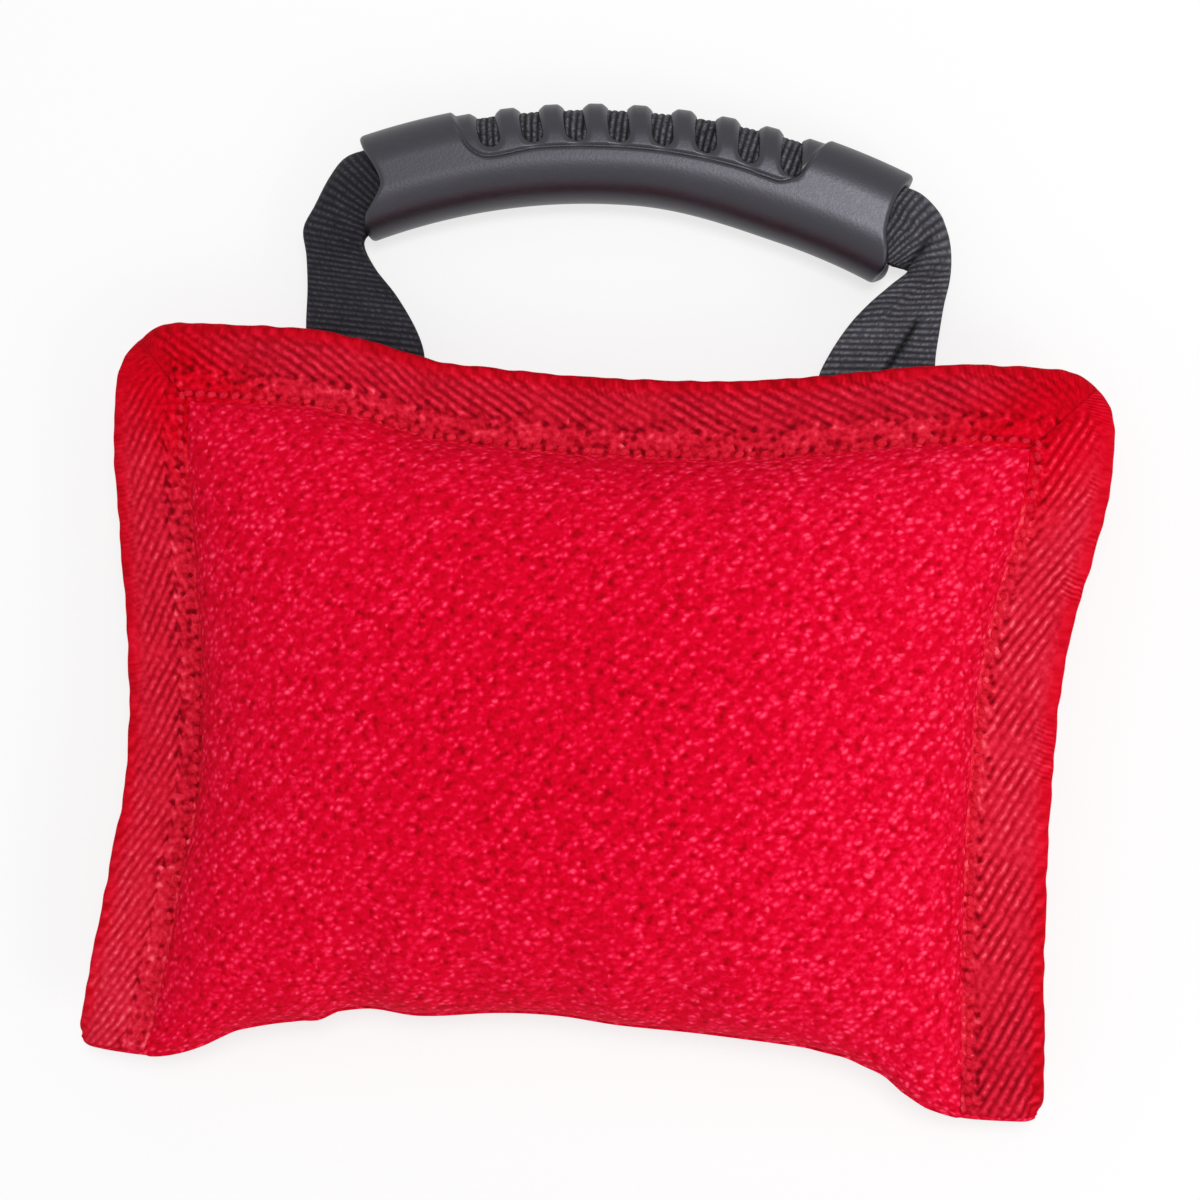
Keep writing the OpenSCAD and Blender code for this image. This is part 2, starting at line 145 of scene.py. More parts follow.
def smooth_curve(knots, at):
    """Catmull-Rom curve through the knots (rows), read at the parameters at (0 is the first knot)."""
    knots = np.asarray(knots, float)
    last = len(knots) - 1
    k = np.clip(np.floor(at).astype(int), 0, last - 1)
    t = (np.asarray(at) - k)[:, None]
    p1, p2 = knots[k], knots[k + 1]
    p0 = np.where((k > 0)[:, None], knots[np.maximum(k - 1, 0)], 2 * p1 - p2)
    p3 = np.where((k < last - 1)[:, None], knots[np.minimum(k + 2, last)], 2 * p2 - p1)
    return 0.5 * (2 * p1 + (p2 - p0) * t + (2 * p0 - 5 * p1 + 4 * p2 - p3) * t**2
                  + (3 * p1 - p0 - 3 * p2 + p3) * t**3)


def ripple(s, seed, waves, low, high):
    """A repeatable wavy line of unit size: sine waves with lengths between low and high."""
    rng = np.random.default_rng(seed)
    total = np.zeros_like(np.asarray(s, float))
    for _ in range(waves):
        length = rng.uniform(low, high)
        total = total + np.sin(2 * math.pi * (s / length + rng.uniform(0, 1)))
    return total / math.sqrt(waves / 2)


# ---------- Shape of the filled cover, as in the part's source ----------

COVER_W, COVER_L, BAG_T, SEAM_H = 265.0, 197.0, 62.0, 27.0
CLOTH_T, TAPE_T, BINDING_W, STITCH_MARGIN = 1.5, 1.0, 21.5, 2.0
LAYER_GAP = 0.1
PLY_MID = LAYER_GAP + CLOTH_T / 2
PLY_OUT = LAYER_GAP + CLOTH_T
TAPE_OUT = PLY_OUT + LAYER_GAP + TAPE_T
HALF_W, HALF_L = COVER_W / 2, COVER_L / 2
RIM_X = HALF_W - TAPE_T - LAYER_GAP
RIM_Y = HALF_L - TAPE_T - LAYER_GAP
SEAM_X, SEAM_Y = HALF_W - BINDING_W, HALF_L - BINDING_W
FOLD_Y = HALF_L - PLY_OUT
BELLY_X, BELLY_Y, BELLY_RISE = 2.6, 2.4, 0.55
BACK_DEPTH = 1.35 * SEAM_H
CORNER_DROOP, DROOP_POWER = 10.0, 5
TOP_CORNER_R, EAR_R, CORNER_FULLNESS = 17.0, 5.5, 0.045
# Slow waves of the taped flange, out of its plane: their size, slant, lengths, and the share of the way out
# from the bag's middle where they start. FLOOR_GAP is kept under the back where it lies on the floor.
FLANGE_WAVE, FLANGE_SLANT, FLANGE_LENGTHS, FLANGE_FROM = 0.5, 1.7, (38, 90), 0.75
FLOOR_GAP = 0.05

# How far the filling draws each edge in, at places along it: (place, pull), from the outline's middle line.
LEFT_PULLS = (
    (-97, -1.2), (-90, 1.2), (-80, 3.1), (-64, 5.8), (-48, 8.0), (-31, 10.5), (-15, 10.9), (6, 9.7),
    (28, 6.6), (49, 3.6), (65, 1.0), (76, 0.2), (97, 0.0),
)
RIGHT_PULLS = (
    (-97, 5.2), (-87, 5.9), (-74, 6.7), (-59, 8.0), (-44, 8.4), (-28, 9.1), (3, 9.0), (18, 8.3),
    (34, 6.1), (50, 2.6), (65, -0.4), (81, -1.2), (97, -0.6),
)
TOP_PULLS = (
    (-132, 0.0), (-93, 0.2), (-77, 0.6), (-60, 3.4), (-44, 7.2), (-27, 8.2), (-11, 9.0), (5, 9.1),
    (20, 8.7), (36, 8.0), (52, 6.2), (67, 3.9), (83, 1.5), (98, 0.0), (132, -0.2),
)
FOLD_PULLS = (
    (-132, -0.7), (-120, -1.2), (-107, -0.8), (-97, 2.4), (-86, 8.4), (-70, 12.3), (-64, 13.2),
    (-59, 16.0), (-50, 17.6), (-37, 16.8), (-16, 19.4), (0, 20.0), (16, 18.9), (37, 18.6), (58, 17.8),
    (68, 17.2), (74, 16.2), (79, 15.4), (84, 13.6), (90, 11.3), (95, 7.5), (102, 3.7), (112, 1.6),
    (132, 1.4),
)


def read_stations(stations, at):
    """Smooth curve through (place, value) stations, read at the given places."""
    places, values = np.array(stations, float).T
    share = np.interp(at, places, np.arange(len(places)))
    return smooth_curve(values[:, None], share.ravel())[:, 0].reshape(np.shape(at))


def rounded(x, y):
    """Rounds the outline's corners: each line parallel to the edge turns on its own concentric arc."""
    radius = np.where(y > 0, TOP_CORNER_R, EAR_R)
    hub_x = HALF_W - radius
    hub_y = np.where(y > 0, HALF_L, FOLD_Y) - radius
    out_x = np.maximum(np.abs(x) - hub_x, 0)
    out_y = np.maximum(np.abs(y) - hub_y, 0)
    reach = np.maximum(out_x, out_y)
    turn = math.pi / 4 * np.minimum(out_x, out_y) / np.maximum(reach, 1e-6)
    swell = 1 + CORNER_FULLNESS * np.sin(2 * turn) ** 2
    near, far = reach * swell * np.sin(turn), reach * swell * np.cos(turn)
    wide = out_x >= out_y
    in_x = np.abs(x) - out_x + np.where(wide, far, near)
    in_y = np.abs(y) - out_y + np.where(wide, near, far)
    return np.sign(x) * in_x, np.sign(y) * in_y


def drawn(x, y):
    """Plan position of a point of the flat cover once the bag is filled."""
    x, y = rounded(x, y)
    pull = np.where(x < 0, read_stations(LEFT_PULLS, y), read_stations(RIGHT_PULLS, y))
    top = read_stations(TOP_PULLS, x) * np.minimum(1, y / SEAM_Y)
    fold = read_stations(FOLD_PULLS, x) * y / HALF_L
    return x - pull * np.clip(x / SEAM_X, -1, 1), y - np.where(y > 0, top, fold)


def seam_z(x, y):
    """Height of the seam plane, which droops at its corners."""
    cornerness = np.abs(x * y) / (HALF_W * HALF_L)
    return SEAM_H - CORNER_DROOP * cornerness ** DROOP_POWER


def flange_wave(x, y):
    """Small waves that grow from the seam to the edge."""
    out = np.maximum(np.abs(x) / HALF_W, y / HALF_L)
    wave = ripple(x + FLANGE_SLANT * y, 11, 4, *FLANGE_LENGTHS)
    return FLANGE_WAVE * wave * ease((out - FLANGE_FROM) / (1 - FLANGE_FROM))


# ---------- Cover cloth ----------

COVER_COLS, COVER_ROWS = 190, 150
SIM_COLS, SIM_ROWS = 64, 48
EDGE_DENSITY = 0.7
COVER_SLACK = 0.96
# Gathers: their size, how far they run in from the seams and from the fold, and how soon they rise.
TUCK_SIZE, SEAM_TUCKS, FOLD_TUCKS, TUCK_ONSET = 0.9, 34.0, 42.0, 2.2
# Their waves at the sides, at the top and at the fold: slant, shortest and longest wave, and strength.
TUCK_WAVES = ((0.25, 17, 40, 0.7), (0.2, 20, 46, 0.8), (-0.15, 24, 60, 1.3))
TUCK_SEED = 21
# Where the rows of points lie round the bottom fold.
FOLD_TURNS_DEG = (60, 30, 0, -30, -60)


def spread(count):
    """Shares from 0 to 1, closer together near both ends."""
    t = np.linspace(0, 1, count)
    return EDGE_DENSITY * (1 - np.cos(math.pi * t)) / 2 + (1 - EDGE_DENSITY) * t


def plump(x, y):
    """How far the filling pushes a face out: 1 in the middle, 0 at the seams and at the fold."""
    u = np.abs(x) / SEAM_X
    v = np.where(y > 0, y / SEAM_Y, -y / FOLD_Y)
    full = np.maximum(0, 1 - u**BELLY_X) * np.maximum(0, 1 - v**BELLY_Y)
    return full**BELLY_RISE


def tucks(x, y):
    """Soft gathers that run in from the seams, where the filling draws the cloth together."""
    from_side = np.clip(1 - (SEAM_X - np.abs(x)) / SEAM_TUCKS, 0, 1) * (np.abs(x) < SEAM_X)
    from_top = np.clip(1 - (SEAM_Y - y) / SEAM_TUCKS, 0, 1) * (y < SEAM_Y)
    from_fold = np.clip(1 - (FOLD_Y + y) / FOLD_TUCKS, 0, 1)
    places = ((from_side, y, np.abs(x)), (from_top, x, y), (from_fold, x, y))
    total = 0
    for k, ((near, along, inwards), (slant, low, high, strength)) in enumerate(zip(places, TUCK_WAVES)):
        wave = ripple(along + slant * inwards, TUCK_SEED + k, 4, low, high) * ease(near)
        total = total + strength * wave
    return TUCK_SIZE * total


def cover_middle(side, x, y, fullness):
    """Middle of the cloth on the front (side 1) or the back (side -1)."""
    px, py = drawn(x, y)
    base = seam_z(x, y) + flange_wave(x, y) + side * PLY_MID
    rise = plump(x, y) * fullness
    gathers = tucks(x, y) * ease(plump(x, y) * TUCK_ONSET)
    front = base + (BAG_T - CLOTH_T / 2 - SEAM_H - PLY_MID) * rise + gathers
    back = np.maximum(CLOTH_T / 2, base - BACK_DEPTH * rise - gathers)
    return np.stack([px, py, front if side > 0 else back], -1)


def surface_normals(points, turn):
    """Unit normals of a grid of points."""
    down = np.gradient(points, axis=0)
    across = np.gradient(points, axis=1)
    return unit(np.cross(across, down)) * turn


def flat_lines(cols, rows):
    """Where the cover's grid lies on the flat cloth: x of its columns, and y of the front's rows."""
    return mix(-RIM_X, RIM_X, spread(cols)), mix(RIM_Y, -FOLD_Y, spread(rows))


def cover_grid(cols, rows, fullness):
    """Outer skin of the cover as one grid: down the front, round the bottom fold and up the back.
    Returns the points and the number of rows on the front."""
    flat_x, flat_y = np.meshgrid(*flat_lines(cols, rows))
    front = cover_middle(1, flat_x, flat_y, fullness)
    back = cover_middle(-1, flat_x, flat_y, fullness)
    front = front + surface_normals(front, -1) * CLOTH_T / 2
    back = back + surface_normals(back, 1) * CLOTH_T / 2
    back[..., 2] = np.maximum(back[..., 2], FLOOR_GAP)
    middle = (front[-1] + back[-1]) / 2
    gap = np.linalg.norm(front[-1] - back[-1], axis=-1) / 2
    turns = np.radians(FOLD_TURNS_DEG)
    bend = [middle + np.stack([0 * gap, -gap * math.cos(t), gap * math.sin(t)], -1) for t in turns]
    return np.concatenate([front, np.stack(bend), back[::-1]]), rows


def cloth_lengths(points, middle_row):
    """Distances over the cloth from its middle, across and along: the weave keeps to them."""
    across = np.linalg.norm(np.diff(points, axis=1), axis=-1)
    across = np.concatenate([np.zeros((points.shape[0], 1)), np.cumsum(across, 1)], 1)
    across = across - across[:, [points.shape[1] // 2]]
    along = np.linalg.norm(np.diff(points, axis=0), axis=-1)
    along = np.concatenate([np.zeros((1, points.shape[1])), np.cumsum(along, 0)], 0)
    along = along[[middle_row]] - along
    return np.stack([across, along, 0 * along], -1)


# The cloth simulation: its length in frames, how far a point may move, and its settings.
SIM_FRAMES, SIM_CAP = 24, 5.0
SIM_SETTINGS = {
    "use_pressure": True, "uniform_pressure_force": 4.0, "vertex_group_mass": "pinned", "quality": 8,
    "mass": 0.3, "tension_stiffness": 40, "compression_stiffness": 20, "shear_stiffness": 10,
    "bending_stiffness": 0.5,
}
# The tape holds the cloth this far in, and the hold fades out over the next stretch.
TAPE_COVER, FREE_IN = BINDING_W + 1.5, 9.0


def free_cloth(points, front_rows):
    """How free each point of the cover is: 0 under the tape and along the bottom fold, 1 further in."""
    x, y = flat_lines(points.shape[1], front_rows)
    bend = np.full(len(points) - 2 * front_rows, -FOLD_Y)
    y = np.concatenate([y, bend, y[::-1]])
    from_fold = (y + FOLD_Y) / FREE_IN
    from_side = (HALF_W - np.abs(x) - TAPE_COVER) / FREE_IN
    from_top = (HALF_L - y - TAPE_COVER) / FREE_IN
    return ease(np.minimum(np.minimum(from_top, from_fold)[:, None], from_side))


def pressed_cover(points, front_rows):
    """Presses a coarse grid of the cover out from inside with a cloth simulation. It is held where the tape
    grips it and along the bottom fold. Returns how far each point moves, in mm."""
    rows, cols = points.shape[:2]
    piece = add_piece("cover_sim", points, grid_faces(rows, cols)[:, ::-1])
    free = free_cloth(points, front_rows)
    pinned = piece.vertex_groups.new(name="pinned")
    pinned.add(np.flatnonzero((free <= 0).ravel()).tolist(), 1.0, "REPLACE")
    settings = piece.modifiers.new("cloth", "CLOTH").settings
    for name, value in SIM_SETTINGS.items():
        setattr(settings, name, value)
    settings.effector_weights.gravity = 0
    scene = bpy.context.scene
    for step in range(1, SIM_FRAMES + 1):
        scene.frame_set(step)
    shaped = piece.evaluated_get(bpy.context.evaluated_depsgraph_get()).to_mesh()
    moved = np.zeros(len(shaped.vertices) * 3)
    shaped.vertices.foreach_get("co", moved)
    moved = moved.reshape(rows, cols, 3) / MM - points
    scene.frame_set(1)
    mesh = piece.data
    bpy.data.objects.remove(piece)
    bpy.data.meshes.remove(mesh)
    far = np.linalg.norm(moved, axis=-1, keepdims=True)
    capped = SIM_CAP * np.tanh(far / SIM_CAP) / np.maximum(far, 1e-6)
    return moved * capped * free[..., None]


def stretch_grid(values, rows, cols):
    """Reads a coarse grid of vectors at the places of a finer one."""
    for axis, count in enumerate((rows, cols)):
        coarse, fine = np.linspace(0, 1, values.shape[axis]), np.linspace(0, 1, count)
        values = np.apply_along_axis(lambda line: np.interp(fine, coarse, line), axis, values)
    return values


def close_edges(rows, cols):
    """Faces that close the cover's open top and sides, hidden under the tape."""
    half = rows // 2
    faces = []
    for i in range(half - 1):
        up, down = i * cols, (rows - 1 - i) * cols
        faces.append((up, up + cols, down - cols, down))
        faces.append((down + cols - 1, down - 1, up + 2 * cols - 1, up + cols - 1))
    for j in range(cols - 1):
        faces.append((j + 1, j, (rows - 1) * cols + j, (rows - 1) * cols + j + 1))
    tip = half - 1
    side_loop = [i * cols for i in range(tip, rows - tip)]
    faces.append(tuple(side_loop))
    faces.append(tuple(i + cols - 1 for i in reversed(side_loop)))
    return faces


def make_cover():
    points, front_rows = cover_grid(COVER_COLS, COVER_ROWS, COVER_SLACK)
    moved = pressed_cover(*cover_grid(SIM_COLS, SIM_ROWS, COVER_SLACK))
    points = points + stretch_grid(moved, *points.shape[:2])
    points[..., 2] = np.maximum(points[..., 2], FLOOR_GAP)
    rows, cols = points.shape[:2]
    coords = cloth_lengths(points, front_rows // 2)
    faces = grid_faces(rows, cols)[:, ::-1].tolist() + close_edges(rows, cols)
    piece = add_piece("cover", points, faces, coords)
    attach(piece, "bag")
    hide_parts("cover_cloth")
    return piece


# ---------- Edge tape ----------

TAPE_STEP = 1.0
TAPE_LEG_POINTS, TAPE_FOLD_POINTS, TAPE_UNDER_POINTS = 30, 11, 10
TAPE_OUTER_POINTS = 2 * TAPE_LEG_POINTS + TAPE_FOLD_POINTS
FOLD_REACH = 2.4
STITCH_PITCH = 3.3
STITCH_AT = BINDING_W - STITCH_MARGIN
ROW_START = 2.0
TAPE_CROWN, TAPE_SOFTNESS, EDGE_SCALLOP = 0.45, 0.22, 0.09
SEAM_GROOVE, GROOVE_WIDTH, NEEDLE_PUCKER, PUCKER_WIDTH = 0.5, 1.4, 0.12, 4.5
MITRE_CREASE, CREASE_WIDTH, MITRE_REACH = 0.5, 1.3, 24.0
# Ribs of each strip: their pitch, their angle to the tape's own length, which way they lean, and how far
# from the tape's fold they turn back. The layer keeps the strips' noise apart: a multiple of LAYER_STEP.
LAYER_STEP = 40.0
RIBS = {
    "left": {"pitch": 2.15, "angle": 27.0, "lean": -1, "turn_at": 14.9, "layer": 0.0},
    "top": {"pitch": 2.4, "angle": 29.5, "lean": -1, "turn_at": 13.4, "layer": LAYER_STEP},
    "right": {"pitch": 2.4, "angle": 28.0, "lean": 1, "turn_at": 17.3, "layer": 2 * LAYER_STEP},
}


def strip_length(strip):
    return COVER_W if strip == "top" else HALF_L + FOLD_Y


def strip_flat(strip, s, inset):
    """Flat place of a point of one strip of tape. s runs along the strip from 0 to 1."""
    if strip == "top":
        return mix(-HALF_W, HALF_W, s) * (1 - inset / HALF_W), HALF_L - inset
    y = mix(-FOLD_Y, HALF_L, s)
    y = np.where(y > 0, y * (1 - inset / HALF_L), y)
    x = HALF_W - inset
    return (-x if strip == "left" else x) + 0 * y, y


def strip_point(strip, s, inset, h):
    """A point of the taped edge, h above or below the seam plane."""
    x, y = strip_flat(strip, s, inset)
    px, py = drawn(x, y)
    return np.stack([px, py, seam_z(x, y) + flange_wave(x, y) + h], -1)


def tape_section():
    """The tape's outer skin from its front inner edge, round the fold, to its back inner edge:
    inset from the edge, height, and distance over the tape from the fold."""
    leg = np.linspace(BINDING_W, FOLD_REACH, TAPE_LEG_POINTS)
    leg[np.argmin(np.abs(leg - RIBS["left"]["turn_at"]))] = RIBS["left"]["turn_at"]
    leg[np.argmin(np.abs(leg - STITCH_AT))] = STITCH_AT
    turn = np.radians(np.linspace(90, -90, TAPE_FOLD_POINTS + 2)[1:-1])
    inset = np.concatenate([leg, FOLD_REACH * (1 - np.cos(turn)), leg[::-1]])
    side = np.concatenate([np.ones_like(leg), np.sin(turn), -np.ones_like(leg)])
    bend = FOLD_REACH * np.sin(turn)
    over = np.concatenate([leg, bend, -leg[::-1]])
    return inset, side * TAPE_OUT, over


def along_row(strip, x, y):
    """Distance along a strip from the start of its stitch row."""
    return x + HALF_W - STITCH_AT if strip == "top" else y + FOLD_Y - ROW_START


def tape_relief(run, over):
    """Height of the tape's crown, its sunken stitch row and the puckers at the needle holes."""
    t = np.abs(over)
    crown = TAPE_CROWN * np.sin(math.pi * np.clip((t - 1) / (STITCH_AT - 1), 0, 1))
    hole = 0.5 + 0.5 * np.cos(2 * math.pi * run / STITCH_PITCH)
    groove = SEAM_GROOVE * np.exp(-((t - STITCH_AT) / GROOVE_WIDTH) ** 2) * (0.55 + 0.45 * hole)
    pucker = NEEDLE_PUCKER * hole * np.exp(-((t - STITCH_AT) / PUCKER_WIDTH) ** 2)
    soft = TAPE_SOFTNESS * ripple(run + 3 * np.sign(over), 31, 4, 9, 24) * ease(t / 6)
    return crown - groove - pucker + soft


def from_mitre(x, y):
    """Distance over the tape from the nearer of its two mitred corners."""
    return np.abs((HALF_W - np.abs(x)) - (HALF_L - y)) / math.sqrt(2)


def tape_coords(strip, x, y, over):
    """Two sets of coordinates. Place: the distances along the strip and from its fold, and the strip's layer
    plus the distance from the mitre. Ribs: which herringbone rib, and the distance past the line where the
    ribs turn."""
    rib = RIBS[strip]
    t = np.abs(over)
    layer = rib["layer"] + np.minimum(from_mitre(x, y), MITRE_REACH)
    places = np.stack([along_row(strip, x, y), t, layer], -1)
    folded = rib["turn_at"] - np.abs(t - rib["turn_at"])
    turn = math.radians(rib["angle"])
    across = rib["lean"] * folded * math.cos(turn) + (x if strip == "top" else y) * math.sin(turn)
    return places, np.stack([across / rib["pitch"], 0 * t, t - rib["turn_at"]], -1)


def tape_strip(strip):
    """Points and the two sets of coordinates of one strip: its outer skin, then its inner skin."""
    length = strip_length(strip)
    s = np.linspace(0, 1, int(length / TAPE_STEP))
    inset, h, over = tape_section()
    s_grid, inset_grid = np.meshgrid(s, inset, indexing="ij")
    over_grid = np.broadcast_to(over, s_grid.shape)
    x, y = strip_flat(strip, s_grid, inset_grid)
    mitre = from_mitre(x, y)
    scallop = EDGE_SCALLOP * ripple(s_grid * length, 41, 5, 5, 16) * np.clip(1 - inset_grid / 5, 0, 1)
    crease = MITRE_CREASE * np.exp(-(mitre / CREASE_WIDTH) ** 2) * ease((inset_grid - 8) / 4)
    relief = (tape_relief(along_row(strip, x, y), over_grid) - crease) * np.sign(h)
    outer_h = h + relief * (inset_grid >= FOLD_REACH)
    outer = strip_point(strip, s_grid, inset_grid - scallop * ease(mitre / 8), outer_h)
    skin = np.linspace(TAPE_T, BINDING_W, TAPE_UNDER_POINTS)
    inner_h = np.repeat([-1, 1], TAPE_UNDER_POINTS) * (TAPE_OUT - TAPE_T)
    s_grid, inset_grid = np.meshgrid(s, np.concatenate([skin[::-1], skin]), indexing="ij")
    inner = strip_point(strip, s_grid, inset_grid, inner_h)
    outer_coords = tape_coords(strip, x, y, over_grid)
    inner_coords = tape_coords(strip, *strip_flat(strip, s_grid, inset_grid), inset_grid)
    return [np.concatenate(skins, 1) for skins in zip((outer, *outer_coords), (inner, *inner_coords))]


def end_caps(rows, cols):
    """Caps of a strip: quads between its outer and inner skins."""
    faces = []
    inner_count = cols - TAPE_OUTER_POINTS
    steps = [round(k * (TAPE_OUTER_POINTS - 1) / (inner_count - 1)) for k in range(inner_count)]
    pairs = [(step, cols - 1 - k) for k, step in enumerate(steps)]
    for row, flip in ((0, False), (rows - 1, True)):
        base = row * cols
        for (a, b), (c, d) in zip(pairs, pairs[1:]):
            loop = [base + i for i in range(a, c + 1)] + [base + d, base + b]
            faces.append(loop[::-1] if flip else loop)
    return faces


def make_tape():
    parts = []
    for strip in RIBS:
        points, places, ribs = tape_strip(strip)
        rows, cols = points.shape[:2]
        faces = grid_faces(rows, cols, wrap_cols=True).tolist() + end_caps(rows, cols)
        if strip == "right":
            faces = [face[::-1] for face in faces]
        parts.append((points.reshape(-1, 3), faces, places.reshape(-1, 3), ribs.reshape(-1, 3)))
    *shape, ribs = joined(parts)
    piece = add_piece("tape", *shape)
    keep_coords(piece.data, "ribs", ribs)
    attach(piece, "bag")
    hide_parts("binding_tape")
    return piece


# ---------- Stitches ----------

# Each stitch: length, width and height. STITCH_SINK is how deep it lies in the tape.
STITCH_SIZE, STITCH_SINK = (2.5, 1.7, 1.0), 0.12
BEAD_RINGS, BEAD_SIDES, BEAD_FULLNESS, BEAD_DIVE = 9, 10, 0.6, 0.45
# How far a stitch may lean, how much its size may vary, and how far apart the stitches' coordinates lie.
LEANS, SWELLS, BEAD_APART = (0.15, 0.75), (-0.2, 0.12), 7.0
BINDING_SEED, BOX_SEED = 51, 81


def bead(length, width, height):
    """One stitch: a plump yarn that dives at both ends. Returns points (along, across, up), faces and
    coordinates (along, around)."""
    turn = np.linspace(0, math.pi, BEAD_RINGS)
    around = np.linspace(0, 2 * math.pi, BEAD_SIDES, endpoint=False)
    a, b = np.meshgrid(turn, around, indexing="ij")
    full = np.sin(a) ** BEAD_FULLNESS
    along = -np.cos(a) * length / 2
    across = full * np.cos(b) * width / 2
    up = full * np.sin(b) * height / 2 - BEAD_DIVE * height * np.cos(a) ** 2
    points = np.stack([along, across, up], -1).reshape(-1, 3)
    coords = np.stack([along, b * width / 2, 0 * b], -1).reshape(-1, 3)
    faces = grid_faces(BEAD_RINGS, BEAD_SIDES, wrap_cols=True).tolist()
    return points, faces, coords


def stitch_run(centres, alongs, ups, size, seed):
    """Lays one bead at each centre. Returns points, faces and coordinates of the whole run."""
    rng = np.random.default_rng(seed)
    template, faces, coords = bead(*size)
    beads = []
    for k, (centre, along, up) in enumerate(zip(centres, alongs, ups)):
        direction = unit(along + rng.uniform(*LEANS) * np.cross(up, along))
        sideways = np.cross(up, direction)
        p = template * (1 + rng.uniform(*SWELLS))
        points = centre + p[:, [0]] * direction + p[:, [1]] * sideways + p[:, [2]] * up
        beads.append((points, faces, coords + [k * BEAD_APART, 0, 0]))
    return joined(beads)


def binding_row(strip, side):
    """Stitch centres and directions along one strip of tape, on its front or its back."""
    length = strip_length(strip)
    start = STITCH_AT if strip == "top" else ROW_START
    run = np.arange(start + STITCH_PITCH / 2, length - STITCH_AT, STITCH_PITCH)
    if strip == "top":
        s = (run - length / 2) / (length / 2) / (1 - STITCH_AT / HALF_W) / 2 + 0.5
    else:
        y = run - FOLD_Y
        s = (np.where(y > 0, y / (1 - STITCH_AT / HALF_L), y) + FOLD_Y) / length
    inset = STITCH_AT + 0 * s
    height = side * (TAPE_OUT - STITCH_SINK) + 0 * s
    centre = strip_point(strip, s, inset, height)
    step = 0.002
    along = unit(strip_point(strip, s + step, inset, height) - strip_point(strip, s - step, inset, height))
    outward = strip_point(strip, s, inset - 1, height) - strip_point(strip, s, inset + 1, height)
    up = unit(np.cross(along, outward))
    return centre, along, up * np.sign(up[:, [2]]) * side


def make_binding_stitches():
    rows = [(strip, side) for strip in RIBS for side in (1, -1)]
    runs = [stitch_run(*binding_row(*row), STITCH_SIZE, BINDING_SEED + k) for k, row in enumerate(rows)]
    piece = add_piece("edge_stitches", *joined(runs))
    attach(piece, "bag")
    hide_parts("binding_stitching")
    return piece


# ---------- Straps ----------

# Each row is one station along a strap, from its sewn end to inside the grip:
# outer edge x, y, inner edge x, y, height of the middle, thickness, and roundness of the section.
LEFT_STRAP = (
    (-81.0, 78.5, -50.0, 78.5, 22.6, 2.0, 7.0),
    (-81.2, 87.0, -49.5, 86.5, 22.2, 2.0, 7.0),
    (-81.3, 94.5, -48.8, 92.5, 21.9, 2.0, 7.0),
    (-81.9, 101.0, -51.5, 99.5, 21.0, 2.1, 6.5),
    (-82.9, 110.0, -57.9, 108.5, 17.8, 2.6, 5.0),
    (-84.6, 119.0, -65.6, 117.0, 14.4, 4.0, 4.0),
    (-86.4, 126.5, -69.3, 123.5, 12.4, 6.2, 3.2),
    (-83.8, 133.2, -67.0, 127.5, 11.6, 8.6, 2.8),
    (-80.2, 141.2, -64.0, 130.5, 11.3, 11.0, 2.6),
    (-76.0, 146.8, -60.0, 132.5, 11.25, 13.0, 2.4),
    (-69.0, 149.5, -55.5, 134.5, 11.25, 14.0, 2.4),
    (-62.5, 151.6, -51.5, 136.5, 11.25, 14.0, 2.4),
)
RIGHT_STRAP = (
    (87.3, 78.5, 57.3, 78.5, 22.6, 2.0, 7.0),
    (86.9, 87.0, 56.8, 87.0, 22.2, 2.0, 7.0),
    (86.6, 94.5, 56.4, 93.0, 21.9, 2.0, 7.0),
    (86.5, 100.5, 58.9, 99.5, 21.0, 2.1, 6.5),
    (87.1, 107.5, 62.7, 106.5, 18.8, 2.6, 5.0),
    (87.8, 114.5, 67.2, 112.8, 16.2, 3.8, 4.0),
    (88.8, 120.5, 72.7, 118.5, 14.2, 5.6, 3.4),
    (89.0, 125.8, 77.4, 123.1, 13.0, 6.6, 3.0),
    (88.4, 131.0, 74.4, 124.1, 12.2, 7.6, 2.6),
    (87.0, 135.5, 72.6, 124.4, 11.6, 9.4, 2.5),
    (84.8, 139.6, 70.8, 125.4, 11.3, 11.6, 2.5),
    (79.6, 144.2, 69.0, 127.4, 11.25, 13.4, 2.4),
    (72.5, 146.5, 63.0, 131.0, 11.25, 14.0, 2.4),
    (66.5, 149.0, 56.5, 134.5, 11.25, 14.0, 2.4),
)
STRAP_ROW_STEP = 0.3
STRAP_SIDES = 112
# Most of a section's points lie on its two broad faces: share of the points up to each turn.
SECTION_SHARES = (0.0, 0.04, 0.46, 0.54, 0.96, 1.0)
SECTION_TURNS = (0.0, math.pi / 4, 3 * math.pi / 4, 5 * math.pi / 4, 7 * math.pi / 4, 2 * math.pi)
WEB_PITCH, WEB_RELIEF, WEB_ROUNDNESS, SELVEDGE_W = 1.76, 0.3, 0.6, 0.1
STRAP_SPLIT_Y = 114.0
# A strap thicker than this is folded double, and over the next few mm a notch grows between its plies.
FOLDED_FROM, FOLDED_OVER, PLY_NOTCH, NOTCH_W = 3.0, 4.0, 2.0, 0.5
# The ribs are flatter at the selvedges, and they stop short of the edges. The folds show less on the back.
SELVEDGE_RIBS, RIBS_FROM, BACK_FOLDS = 0.35, 0.2, 0.6

